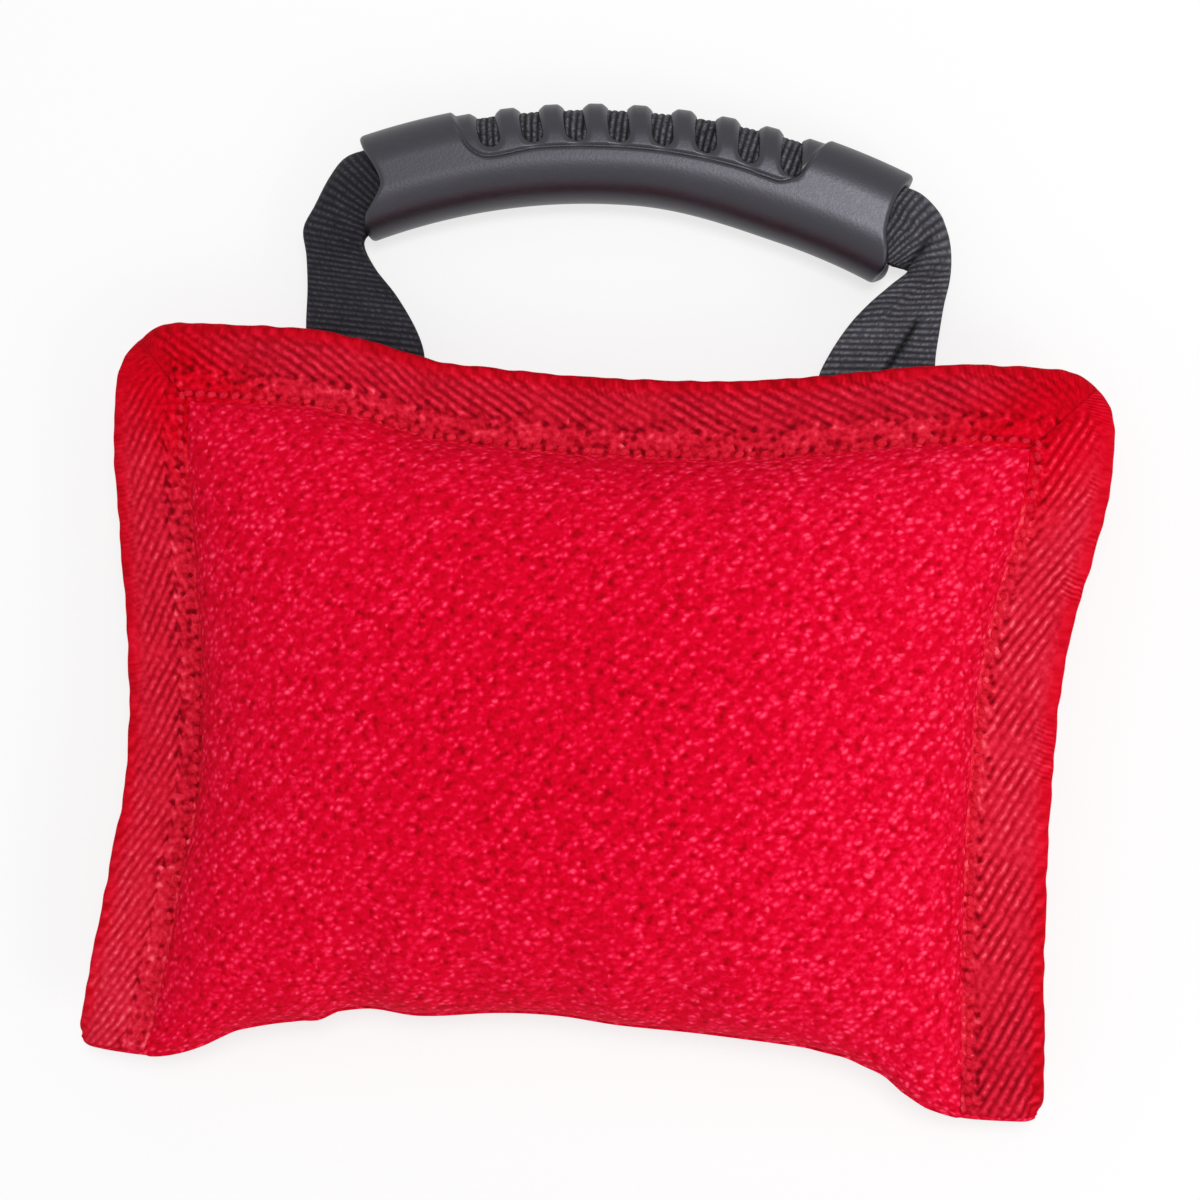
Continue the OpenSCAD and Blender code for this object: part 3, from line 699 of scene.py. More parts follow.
# Folds of the straps where they gather into the grip. Each is a line from one point (x, y) to another, then
# a step: the side to the left of the line's direction lies that much lower near it, a slit along the line,
# how far the step reaches, and how much the ribs swing on that side.
STRAP_FOLDS = {
    "left": (((-66.5, 118.5), (-77.5, 130.5), -0.7, 0.5, 5.0, 0.0),),
    "right": (
        ((76.3, 121.9), (83.6, 131.6), 2.4, 1.6, 6.0, 0.35),
        ((71.5, 108.5), (88.0, 126.0), -1.4, -0.9, 5.0, -0.5),
        ((81.1, 110.5), (69.5, 88.0), 1.5, 2.2, 8.0, 0.2),
    ),
}
SLIT_W, SLIT_DEEPEST, FOLD_SOFTNESS = 0.7, 2.2, 0.6
# A fold rises from a little before its line's start and fades past its end: shares of the line's length.
FOLD_BEFORE, FOLD_RISE, FOLD_PAST, FOLD_FADE = 0.12, 0.3, 1.12, 0.35


def web_ridge(s, pitch=WEB_PITCH):
    """Profile of the webbing's cross ribs: round tops and narrow grooves, between -0.5 and 0.5."""
    return np.abs(np.sin(math.pi * s / pitch)) ** WEB_ROUNDNESS - 0.5


def curve_lengths(stations):
    """Distance along the strap's middle at each station."""
    centre = (stations[:, 0:2] + stations[:, 2:4]) / 2
    centre = np.concatenate([centre, stations[:, 4:5]], 1)
    step = np.linalg.norm(np.diff(centre, axis=0), axis=1)
    return np.concatenate([[0], np.cumsum(step)])


def strap_folds(folds, plan):
    """What the folds do at each place: how far the cloth drops, how far its ribs shift, how much painted
    shadow falls in its slit.
    """
    drop, shift, crease = np.zeros((3, *plan.shape[:-1]))
    for start, end, step, slit, reach, swing in folds:
        line = np.subtract(end, start)
        length = np.linalg.norm(line)
        along = line / length
        rel = plan - start
        run = rel @ along / length
        left = rel[..., 1] * along[0] - rel[..., 0] * along[1]
        strength = ease((run + FOLD_BEFORE) / FOLD_RISE) * ease((FOLD_PAST - run) / FOLD_FADE)
        low_side = ease((left + FOLD_SOFTNESS) / (2 * FOLD_SOFTNESS))
        fade = np.exp(-np.maximum(left, 0) / reach)
        cut = strength * slit * np.exp(-((left - FOLD_SOFTNESS / 2) / SLIT_W) ** 2)
        drop += strength * step * low_side * fade + cut
        shift += swing * np.maximum(left, 0) * fade * strength
        crease = np.maximum(crease, cut / SLIT_DEEPEST)
    return drop, shift, crease


def strap_rings(table, folds):
    """Rings of points round the strap, each from its outer edge over the front to its inner edge."""
    table = np.asarray(table, float)
    knots = np.linspace(0, len(table) - 1, 400)
    length = curve_lengths(smooth_curve(table, knots))
    s = np.linspace(0, length[-1], int(length[-1] / STRAP_ROW_STEP))
    station = smooth_curve(table, np.interp(s, length, knots))
    share = np.linspace(0, 1, STRAP_SIDES, endpoint=False)
    turn = np.interp(share, SECTION_SHARES, SECTION_TURNS)[None, :]
    power = station[:, [6]]
    reach = (np.abs(np.cos(turn)) ** power + np.abs(np.sin(turn)) ** power) ** (1 / power)
    u = np.cos(turn) / reach
    w = np.sin(turn) / reach
    middle = (station[:, None, 0:2] + station[:, None, 2:4]) / 2
    half = (station[:, None, 0:2] - station[:, None, 2:4]) / 2
    thick = station[:, [5]]
    folded = np.clip((thick - FOLDED_FROM) / FOLDED_OVER, 0, 1)
    notch = PLY_NOTCH * folded * np.clip(-u, 0, 1) ** 6 * np.clip(1 - (w / NOTCH_W) ** 2, 0, 1)
    plan = middle + half * u[..., None] + unit(half) * notch[..., None]
    drop, shift, crease = strap_folds(folds, plan)
    s = s[:, None] + shift
    selvedge = ease((1 - np.abs(u)) / SELVEDGE_W)
    ribs = web_ridge(s) * mix(SELVEDGE_RIBS, 1.0, selvedge) * (np.abs(w) > RIBS_FROM)
    top = ease((w + 0.3) / 0.6)
    z = station[:, [4]] + w * thick / 2 + WEB_RELIEF * ribs * np.sign(w) - drop * mix(BACK_FOLDS, 1.0, top)
    across = np.linalg.norm(half, axis=-1) * u
    # The third coordinate carries the painted shadow of the folds' slits.
    return np.concatenate([plan, z[..., None]], -1), np.stack([s, across, crease], -1)


def close_rings(rows, cols):
    """Quads round the rings and a cap at each end."""
    faces = grid_faces(rows, cols, wrap_cols=True).tolist()
    faces.append(list(range(cols))[::-1])
    faces.append([(rows - 1) * cols + j for j in range(cols)])
    return faces


def add_strap_piece(name, points, coords, flip):
    faces = close_rings(*points.shape[:2])
    piece = add_piece(name, points, [f[::-1] for f in faces] if flip else faces, coords)
    return piece


def make_strap(side, table):
    """One strap in two pieces, split part way up: the lower one from the seam, the upper one into the grip.
    """
    points, coords = strap_rings(table, STRAP_FOLDS[side])
    split = int(np.argmax(points[..., 1].mean(1) > STRAP_SPLIT_Y))
    flip = side == "right"
    lower = add_strap_piece("strap_lower_" + side, points[:split + 1], coords[:split + 1], flip)
    upper = add_strap_piece("strap_upper_" + side, points[split:], coords[split:], flip)
    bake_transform(lower)
    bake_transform(upper)
    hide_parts("strap_end_" + side, "strap_leg_" + side)
    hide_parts("strap_neck_" + side)
    return [lower, upper]


# ---------- Box stitches on the back of the sewn ends ----------

BOX_HALF_W, BOX_FROM_Y, BOX_TO_Y = 11.5, 80.5, 91.0
BOX_PITCH, BOX_STITCH_SIZE, BOX_SINK = 2.7, (2.4, 0.9, 0.8), 0.05


def box_row(start, end, z):
    """Stitches along one straight line on the underside."""
    start, end = np.array(start, float), np.array(end, float)
    length = np.linalg.norm(end - start)
    count = max(2, round(length / BOX_PITCH))
    share = (np.arange(count) + 0.5) / count
    plan = start + (end - start) * share[:, None]
    centres = np.concatenate([plan, np.full((count, 1), z)], 1)
    along = np.tile(np.append((end - start) / length, 0), (count, 1))
    up = np.tile([0.0, 0.0, -1.0], (count, 1))
    return centres, along, up


def make_box_stitches():
    runs = []
    for table in (LEFT_STRAP, RIGHT_STRAP):
        outer_x, _, inner_x, _, height, thick, _ = table[1]
        middle = (outer_x + inner_x) / 2
        z = height - thick / 2 + BOX_SINK
        low_x, high_x = middle - BOX_HALF_W, middle + BOX_HALF_W
        a, b, c, d = (low_x, BOX_FROM_Y), (high_x, BOX_FROM_Y), (high_x, BOX_TO_Y), (low_x, BOX_TO_Y)
        for line in ((a, b), (b, c), (c, d), (d, a), (a, c), (b, d)):
            runs.append(stitch_run(*box_row(*line, z), BOX_STITCH_SIZE, BOX_SEED + len(runs)))
    piece = add_piece("box_stitches", *joined(runs))
    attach(piece, "bag")
    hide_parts("strap_end_stitching")
    return piece


# ---------- Grip ----------

ARC_X, ARC_Y, GRIP_Z = -2.0, -29.4, 11.25
GRIP_IN, GRIP_OUT, GRIP_HALF_H = 167.0, 195.0, 11.25
# Ends of the grip, by radius: degrees from the middle. The inner half of each mouth reaches further.
LEFT_MOUTH = ((160.0, -22.8), (168.0, -23.1), (172.0, -22.5), (175.5, -21.2), (179.0, -20.3), (184.0, -20.4),
              (190.0, -20.9), (196.0, -21.3))
RIGHT_MOUTH = ((160.0, 24.0), (166.0, 25.1), (170.0, 25.8), (174.0, 25.4), (178.5, 24.5), (184.0, 24.0),
               (190.0, 23.9), (196.0, 24.2))
# The grip straightens towards its right end, so its inner side falls away from the arc.
STRAIGHTEN, STRAIGHTEN_FROM, STRAIGHTEN_TO = 2.0, 2.0, 16.0
STRAIGHT_R, STRAIGHTEN_OVER_R = 189.0, 22.0
WINDOW_COUNT, WINDOW_PITCH_DEG, WINDOW_MIDDLE_DEG = 8, 3.61, 2.15
WINDOW_HALF_W, WINDOW_FLOOR_R, POCKET_DEPTH = 2.65, 182.2, 3.9
PAD_LEFT_DEG, PAD_RIGHT_DEG = -12.4, 15.95
PAD_LEAN_DEG, PAD_LEAN_R = 0.105, 183.0
PAD_EDGE_R, PAD_CORNER_R = 180.4, 4.5
PAD_SINK_FRONT, PAD_SINK_OUTER, PAD_SINK_FROM_R, PAD_SINK_OVER, PAD_STEP = 0.35, 1.25, 181.0, 9.0, 1.5
# The pad's lower edge dips near both ends: place in degrees, depth and width of each dip.
PAD_DIPS = ((-10.0, 1.1, 2.3), (14.0, 0.6, 2.2))
# The windows stand almost parallel to each other, leaning a little to the left, and flare outwards.
WINDOW_LEAN, WINDOW_CLOSE, LEAN_PIVOT_R = 0.2, 0.0011, 186.5
SHOULDER_W, SHOULDER_DEPTH, SHOULDER_POWER = 1.8, 1.3, 1.3
FLARE_INNER, FLARE_FROM_R, FLARE_OVER = 0.4, 184.0, 8.0
# WINDOW_RIM_SHADE is how far the painted shade reaches in from the windows' rims.
POCKET_LIP, POCKET_SLOPE, WINDOW_RIM_SHADE = 0.35, 0.8, 0.9
# The groove runs just inside the pad's outline and fades out towards the grip's outer side.
# GROOVE_SHADE_W is the width of the groove's painted shade.
GROOVE_DEPTH, GROOVE_W, GROOVE_SHADE_W = 0.95, 0.48, 0.5
GROOVE_IN, GROOVE_END_R, GROOVE_FADE = 0.3, 191.5, 4.0
GRIP_ARC_STEP, GRIP_SIDES = 0.32, 216
WEB_IN_GRIP = 1.9


def oval_section(count):
    """Outline of the grip's section: plan radius, height, and the outward direction in (radius, height).
    It runs from the outer side over the front: two half circles joined by two flats."""
    flat = GRIP_OUT - GRIP_IN - 2 * GRIP_HALF_H
    quarter = math.pi * GRIP_HALF_H / 2
    marks = np.cumsum([0, quarter, flat, 2 * quarter, flat, quarter])
    run = np.linspace(0, marks[-1], count, endpoint=False)
    turn = np.radians(np.interp(run, marks, (0, 90, 90, 270, 270, 360)))
    inner, outer = GRIP_IN + GRIP_HALF_H, GRIP_OUT - GRIP_HALF_H
    middle = np.interp(run, marks, (outer, outer, inner, inner, outer, outer))
    nr, nz = np.cos(turn), np.sin(turn)
    return middle + GRIP_HALF_H * nr, GRIP_HALF_H * nz, nr, nz


def pad_distance(angle, r):
    """Signed distance in mm to the outline of the finger pad: negative inside it."""
    lean = PAD_LEAN_DEG * (r - PAD_LEAN_R)
    per_deg = math.radians(1) * PAD_EDGE_R
    left = (PAD_LEFT_DEG - lean - angle) * per_deg
    right = (angle - PAD_RIGHT_DEG - lean) * per_deg
    dips = sum(deep * np.exp(-((angle - place) / wide) ** 2) for place, deep, wide in PAD_DIPS)
    below = PAD_EDGE_R - dips - r
    qx = np.maximum(left, right) + PAD_CORNER_R
    qy = below + PAD_CORNER_R
    outside = np.hypot(np.maximum(qx, 0), np.maximum(qy, 0))
    return np.minimum(np.maximum(qx, qy), 0) + outside - PAD_CORNER_R


def window_distance(angle, r):
    """Signed distance in mm to the nearest window's outline: negative inside it."""
    out = r - LEAN_PIVOT_R
    pitch = WINDOW_PITCH_DEG * (1 - WINDOW_CLOSE * out)
    middle = WINDOW_MIDDLE_DEG - np.degrees(WINDOW_LEAN * out / r)
    place = (angle - middle) / pitch + (WINDOW_COUNT - 1) / 2
    nearest = np.clip(np.round(place), 0, WINDOW_COUNT - 1)
    across = (place - nearest) * pitch * math.radians(1) * r
    centre_r = WINDOW_FLOOR_R + WINDOW_HALF_W
    below = np.minimum(r - centre_r, 0)
    return np.hypot(across, below) - WINDOW_HALF_W


def groove(angle, r, width):
    """1 along the bottom of the groove round the pad."""
    edge = pad_distance(angle, r)
    return np.exp(-((edge + GROOVE_IN) / width) ** 2) * ease((GROOVE_END_R - r) / GROOVE_FADE)


def grip_painted_shade(angle, r):
    """How much painted shade falls in the hollows: the groove, and the edges of the windows."""
    rim = ease((WINDOW_RIM_SHADE - window_distance(angle, r)) / WINDOW_RIM_SHADE)
    return np.maximum(groove(angle, r, GROOVE_SHADE_W), rim)


def pad_sink(angle, r):
    """How far the pad lies below the grip's body."""
    depth = mix(PAD_SINK_FRONT, PAD_SINK_OUTER, ease((r - PAD_SINK_FROM_R) / PAD_SINK_OVER))
    return depth * ease(-pad_distance(angle, r) / PAD_STEP)


def grip_depth(angle, r):
    """How far the grip's surface lies below its plain oval body."""
    window = window_distance(angle, r)
    flare = mix(FLARE_INNER, 1.0, ease((r - FLARE_FROM_R) / FLARE_OVER))
    shoulder = SHOULDER_DEPTH * flare * np.clip(1 - window / SHOULDER_W, 0, 1) ** SHOULDER_POWER
    pocket = POCKET_DEPTH * ease((POCKET_LIP - window) / POCKET_SLOPE)
    return pad_sink(angle, r) + GROOVE_DEPTH * groove(angle, r, GROOVE_W) + np.maximum(shoulder, pocket)


def grip_place(angle, r, z):
    """Row-frame place of a point given in the grip's own angle, radius and height."""
    sag = STRAIGHTEN * ease((angle - STRAIGHTEN_FROM) / (STRAIGHTEN_TO - STRAIGHTEN_FROM))
    sag = sag * np.clip((STRAIGHT_R - r) / STRAIGHTEN_OVER_R, 0, 1)
    a = np.radians(angle)
    return np.stack([ARC_X + (r - sag) * np.sin(a), ARC_Y + (r - sag) * np.cos(a), GRIP_Z + z], -1)


# Rounded lip of each mouth: distance in from the end, and depth into the 3 mm wall.
LIP = ((1.5, 0.0), (0.9, 0.05), (0.5, 0.22), (0.2, 0.5), (0.04, 0.85), (0.0, 1.3), (0.0, 1.9), (0.08, 2.4),
       (0.35, 2.75), (0.9, 2.95), (2.0, 3.0), (5.0, 3.0), (9.0, 3.0), (14.0, 3.0))


def make_grip():
    r, z, nr, nz = oval_section(GRIP_SIDES)
    low, high = read_stations(LEFT_MOUTH, r), read_stations(RIGHT_MOUTH, r)
    per_deg = math.radians(1) * (GRIP_IN + GRIP_OUT) / 2
    start, end = low + LIP[0][0] / per_deg, high - LIP[0][0] / per_deg
    count = int((end.mean() - start.mean()) * per_deg / GRIP_ARC_STEP)
    angle = start + (end - start) * np.linspace(0, 1, count)[:, None]
    radius = np.broadcast_to(r, angle.shape)
    depth = grip_depth(angle, radius)
    body = grip_place(angle, r - nr * depth, z - nz * depth)
    lips = []
    for ends, turn in ((low, 1), (high, -1)):
        lips.append(np.stack([grip_place(ends + turn * back / per_deg, r - nr * wall, z - nz * wall)
                              for back, wall in LIP[1:]]))
    points = np.concatenate([lips[0][::-1], body, lips[1]])
    rows, cols = points.shape[:2]
    faces = grid_faces(rows, cols, wrap_cols=True)[:, ::-1].tolist()
    first, last = rows * cols, rows * cols + 1
    for j in range(cols):
        n = (j + 1) % cols
        faces.append([j, n, first])
        faces.append([(rows - 1) * cols + n, (rows - 1) * cols + j, last])
    hubs = np.stack([points[0].mean(0), points[-1].mean(0)])
    coords = np.zeros((rows * cols + 2, 3))
    lip_points = (len(LIP) - 1) * cols
    # Painted shade of the hollows, kept in the coordinates for the rubber's colour.
    coords[lip_points:rows * cols - lip_points, 2] = grip_painted_shade(angle, radius).ravel()
    piece = add_piece("grip", np.concatenate([points.reshape(-1, 3), hubs]), faces, coords)
    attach(piece, "grip")
    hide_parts("grip_sleeve")
    return piece


INNER_WEB_PITCH, INNER_WEB_RELIEF, INNER_WEB_T, INNER_WEB_WOBBLE = 1.75, 0.5, 0.9, 0.22
INNER_WEB_FROM_R, INNER_WEB_MIDDLE_R, INNER_WEB_STEP, POINT_GAP = 180.6, 188.0, 0.22, 0.37


def make_inner_webbing():
    """The webbing that shows through the grip's windows, cupped round the outer side of the bore."""
    r, z, nr, nz = oval_section(GRIP_SIDES)
    order = np.argsort(np.where(z >= 0, 1, -1) * (GRIP_OUT - r) + z * 1e-3)
    order = order[r[order] > INNER_WEB_FROM_R]
    r, z, nr, nz = r[order], z[order], nr[order], nz[order]
    span = WINDOW_PITCH_DEG * (WINDOW_COUNT + 0.4) / 2
    per_deg = math.radians(1) * INNER_WEB_MIDDLE_R
    count = int(2 * span * per_deg / INNER_WEB_STEP)
    angle = np.linspace(WINDOW_MIDDLE_DEG - span, WINDOW_MIDDLE_DEG + span, count)[:, None] + 0 * r
    s = angle * per_deg
    wobble = INNER_WEB_WOBBLE * ripple(s + 0.9 * z + 0.7 * r, 61, 4, 3, 9)
    sink = pad_sink(angle, np.broadcast_to(r, angle.shape)) + WEB_IN_GRIP
    depth = sink - INNER_WEB_RELIEF * web_ridge(s + wobble, INNER_WEB_PITCH)
    outer = grip_place(angle, r - nr * depth, z - nz * depth)
    inner = grip_place(angle, r - nr * (sink + INNER_WEB_T), z - nz * (sink + INNER_WEB_T))
    points = np.concatenate([outer, inner[:, ::-1]], 1)
    across = np.broadcast_to(np.cumsum(np.full(len(r), POINT_GAP)), s.shape)
    coords = np.stack([s, across, 0 * s], -1)
    coords = np.concatenate([coords, coords[:, ::-1]], 1)
    piece = add_piece("grip_webbing", points, close_rings(*points.shape[:2]), coords)
    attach(piece, "grip")
    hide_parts("strap_middle")
    return piece


# ---------- Materials ----------

SURFACE_SOCKETS = {
    "colour": "Base Color",
    "roughness": "Roughness",
    "sheen": "Sheen Weight",
    "sheen_roughness": "Sheen Roughness",
    "sheen_tint": "Sheen Tint",
    "specular": "Specular IOR Level",
    "specular_tint": "Specular Tint",
}


def rgba(red, green, blue):
    """An sRGB colour given in 0 to 255, as the linear colour that nodes take."""
    def linear(c):
        c = c / 255
        return c / 12.92 if c <= 0.04045 else ((c + 0.055) / 1.055) ** 2.4
    return (linear(red), linear(green), linear(blue), 1.0)


class Value:
    """A node's output. Arithmetic with it adds a math node for each step."""

    def __init__(self, shader, socket):
        self.shader = shader
        self.socket = socket

    def __add__(self, other):
        return self.shader.math("ADD", self, other)

    def __sub__(self, other):
        return self.shader.math("SUBTRACT", self, other)

    def __rsub__(self, other):
        return self.shader.math("SUBTRACT", other, self)

    def __mul__(self, other):
        return self.shader.math("MULTIPLY", self, other)

    def __truediv__(self, other):
        return self.shader.math("DIVIDE", self, other)

    def __abs__(self):
        return self.shader.math("ABSOLUTE", self)


class Shader:
    """Builds the nodes of a material, or of the world, a line at a time."""

    def __init__(self, owner, surface="Principled BSDF"):
        self.owner = owner
        owner.use_nodes = True
        self.tree = owner.node_tree
        self.surface = self.tree.nodes[surface]

    def put(self, socket, value):
        if isinstance(value, Value):
            self.tree.links.new(value.socket, socket)
        else:
            socket.default_value = value

    def make(self, kind, inputs, output=0, **settings):
        """Adds a node and fills its inputs, by name or by number. Gives one of its outputs."""
        made = self.tree.nodes.new("ShaderNode" + kind)
        for key, value in settings.items():
            setattr(made, key, value)
        for key, value in inputs.items():
            self.put(made.inputs[key], value)
        return Value(self, made.outputs[output])

    def math(self, operation, a, b=0.0):
        return self.make("Math", {0: a, 1: b}, operation=operation)

    def coords(self, name="cloth"):
        return self.make("Attribute", {}, "Vector", attribute_name=name)

    def place_mm(self):
        """Place in the piece, in millimetres."""
        place = self.make("TexCoord", {}, "Object")
        return self.make("Mapping", {"Vector": place, "Scale": (1 / MM, 1 / MM, 1 / MM)})

    def parts(self, vector):
        made = self.make("SeparateXYZ", {0: vector}).socket.node
        return [Value(self, socket) for socket in made.outputs]

    def vector(self, x, y, z=0.0):
        return self.make("CombineXYZ", {0: x, 1: y, 2: z})

    def noise(self, vector, scale, detail=2.0, rough=0.5, warp=0.0):
        inputs = {"Vector": vector, "Scale": scale, "Detail": detail, "Roughness": rough, "Distortion": warp}
        return self.make("TexNoise", inputs)

    def cells(self, vector, scale, random=1.0, flat=True):
        """Distance from the middle of the nearest cell, and that cell's own random number."""
        inputs = {"Vector": vector, "Scale": scale, "Randomness": random}
        distance = self.make("TexVoronoi", inputs, "Distance", voronoi_dimensions="2D" if flat else "3D")
        colour = Value(self, distance.socket.node.outputs["Color"])
        return distance, self.parts(colour)[0]

    def ramp(self, value, stops):
        """Colours by value. Colours of three numbers are sRGB, those of four are linear."""
        made = self.make("ValToRGB", {0: value})
        elements = made.socket.node.color_ramp.elements
        while len(elements) < len(stops):
            elements.new(0.5)
        for element, (at, colour) in zip(elements, stops):
            element.position = at
            element.color = rgba(*colour) if len(colour) == 3 else colour
        return made

    def level(self, value, low, high, out_low=0.0, out_high=1.0):
        return self.make("MapRange", {0: value, 1: low, 2: high, 3: out_low, 4: out_high})

    def blend(self, share, a, b):
        """Goes from colour a to colour b. Inputs 6 and 7 and output 2 are the node's colours."""
        return self.make("Mix", {"Factor": share, 6: a, 7: b}, 2, data_type="RGBA")

    def bump(self, height, strength, distance):
        inputs = {"Height": height, "Strength": strength, "Distance": distance}
        self.put(self.surface.inputs["Normal"], self.make("Bump", inputs))

    def set(self, **values):
        for key, value in values.items():
            self.put(self.surface.inputs[SURFACE_SOCKETS[key]], value)


def new_material(name):
    return Shader(bpy.data.materials.new(name))


def turned(x, y, degrees):
    """Distance along the y axis once the place (x, y) is turned."""
    turn = math.radians(degrees)
    return x * math.sin(turn) + y * math.cos(turn)


TWILL_TURN_DEG, TWILL_PITCH = -52.0, 2.15
PICK_TURN_DEG, PICK_PITCH = 22.5, 2.5
TWILL_WARP = 2.4
CLOTH_REDS = ((0.1, (158, 0, 18)), (0.3, (198, 0, 28)), (0.46, (219, 0, 42)), (0.62, (238, 24, 68)),
              (0.85, (255, 82, 114)))


def cloth_material():
    """Coarse napped twill: plump fuzzy floats along a steep diagonal, in every other row prouder."""
    m = new_material("cover_twill")
    weave = m.coords()
    x, y, _ = m.parts(weave)
    warp = (m.noise(weave, 0.2, 2) - 0.5) * TWILL_WARP
    across = (turned(x, y, TWILL_TURN_DEG) + warp) / TWILL_PITCH
    pick = (turned(x, y, PICK_TURN_DEG) - warp) / PICK_PITCH
    gap, luck = m.cells(m.vector(across * 1.1, pick * 1.15), 1.0)
    tuft = m.level(gap, 0.62, 0.12) * m.level(luck, 0, 1, 0.2, 1.0)
    proud = m.math("COSINE", across * math.pi)
    hollow = m.level(m.noise(weave, 0.4, 1), 0.48, 0.3)
    fuzz = m.noise(weave, 1.0, 1)
    height = tuft * 0.36 + proud * 0.05 - hollow * 0.2 + fuzz * 0.3
    # Painted light and shade: side lifts every shade and grows lighter towards the right as if lit from
    # there; middle darkens the bag's middle as painted shade.
    side = m.level(x, 0.0, 100.0, 0.17, 0.22)
    middle = m.level(abs(x), 75.0, 20.0) * m.level(abs(y), 65.0, 20.0)
    shade = height + side + m.noise(weave, 0.1, 2) * 0.14 - middle * 0.055
    m.set(colour=m.ramp(shade, CLOTH_REDS), roughness=0.95, sheen=0.04, sheen_roughness=0.5,
          sheen_tint=rgba(255, 90, 120), specular=0.06)
    m.bump(height, 0.5, 0.0012)
    return m.owner


def tape_places(m):
    """What the tape's looks go by. The bounds of its strips lie between their layer numbers in RIBS."""
    t = SimpleNamespace()
    t.rib, _, t.past_turn = m.parts(m.coords("ribs"))
    t.run, t.from_fold, layer = m.parts(m.coords())
    t.mitre_gap = m.math("MODULO", layer, LAYER_STEP)
    t.place = m.vector(t.run, t.from_fold, layer - t.mitre_gap)
    t.left = m.level(layer, 34.0, 30.0)
    t.right = m.level(layer, 70.0, 78.0)
    t.inner = m.level(t.past_turn, -0.6, 1.4)
    t.low_end = m.level(t.run, 115.0, 65.0)
    return t


def rib_fade(m, t):
    """How clearly the ribs show: rubbed faint in places, and near the mitres, the fold and the seam."""
    fade = m.level(m.noise(t.place, 0.11, 2), 0.33, 0.56, 0.35, 1.0)
    fade *= m.level(m.noise(t.place, 0.6, 1), 0.34, 0.6, 0.5, 1.0)
    fade *= m.level(t.right, 0, 1, 1.0, 1.25) * m.level(t.mitre_gap, 0.5, 3.5)
    to_edge = m.level(t.from_fold, -0.5, 3.0) * m.math("MAXIMUM", 1.0 - t.left - t.right, t.low_end)
    fade *= m.math("MAXIMUM", m.level(t.from_fold, 3.6, 6.5), to_edge * 0.85)
    return fade * m.level(t.inner, 0, 1, 1.0, 0.08)


RUNG_PITCH, RUNG_LEAN = 1.25, 0.4


def edge_rungs(m, t):
    """The finer rungs by the folded edge."""
    rung = m.math("COSINE", (t.run - t.from_fold * RUNG_LEAN) * (2 * math.pi / RUNG_PITCH))
    here = m.level(t.from_fold, 6.5, 4.5) * m.level(m.noise(t.place, 0.06, 1), 0.42, 0.52)
    return rung * here * m.level(t.right, 0, 1, 0.05, 0.17) * (1.0 - t.low_end)


def seam_knots(m, t):
    """The netted band by the seam: some knots stand proud, others lie low."""
    gap, luck = m.cells(m.vector(t.run / 2.4, t.from_fold / 2.1), 1.0, 0.85)
    return m.level(gap, 0.6, 0.12) * m.level(t.past_turn, -3.8, -0.3) * (luck - 0.56)


def needle_holes(m, t):
    row = m.math("COSINE", t.run * (2 * math.pi / STITCH_PITCH))
    return m.level(abs(t.from_fold - STITCH_AT), 1.7, 0.5) * m.level(row, 0.1, 0.8)


def tape_height(m, t):
    """Relief of the herringbone, which also colours it: light and dark sides of the ribs painted as light
    and shade, pits where they turn, rungs and knots.
    """
    waver = (m.noise(t.place, 0.3, 2) - 0.5) * 0.35
    wave = m.math("COSINE", (t.rib + waver) * (2 * math.pi))
    ribs = (m.level(wave, 0.2, 1.0) * 0.2 - m.level(wave, -0.2, -1.0) * 0.26) * rib_fade(m, t)
    grain = (m.noise(t.place, 0.6, 1) - 0.5) * m.level(t.inner, 0, 1, 0.6, 0.9)
    pit = m.level(abs(t.past_turn), 1.1, 0.2) * m.level(wave, -0.2, -0.9)
    # Painted shade along the mitre line.
    mitre = m.level(t.mitre_gap, 0.9, 0.1) * m.level(t.from_fold, 10.0, 15.0)
    height = grain + 0.31 + ribs + edge_rungs(m, t) + seam_knots(m, t) * 0.62
    # Painted shade: the pits and the needle holes darken the colour as well as the bump.
    return height - pit * 0.16 - needle_holes(m, t) * 0.17 - mitre * 0.14


def tape_tone(m, t):
    """Broad tones, mostly painted light and shade: the side strips are lighter than the top one, and the
    corners are darker.
    """
    # Painted light: the left strip grows lighter and the right one darker towards their lower ends.
    tone = (t.left - t.right) * m.level(t.run, 75.0, 15.0) * 0.12
    # Painted light: the side strips are lighter than the top one, which lies in painted shade, and the right
    # one is lightest.
    tone += (t.left + t.right) * 0.08 + t.right * 0.08
    # Painted shade darkens these tones by the mitred corners.
    tone *= m.level(t.mitre_gap, 1.0, 9.0, 0.4, 1.0)
    tone += t.inner * m.level(t.left, 0, 1, 0.1, 0.0)
    return tone + m.noise(t.place, 0.08, 2) * 0.2


FRESH_REDS = ((0.1, (118, 0, 8)), (0.34, (178, 0, 16)), (0.52, (206, 0, 26)), (0.72, (222, 12, 42)),
              (0.95, (240, 56, 80)))
RUBBED_REDS = ((0.1, (116, 4, 18)), (0.34, (172, 10, 32)), (0.52, (202, 24, 48)), (0.72, (222, 44, 68)),
               (0.95, (242, 96, 112)))


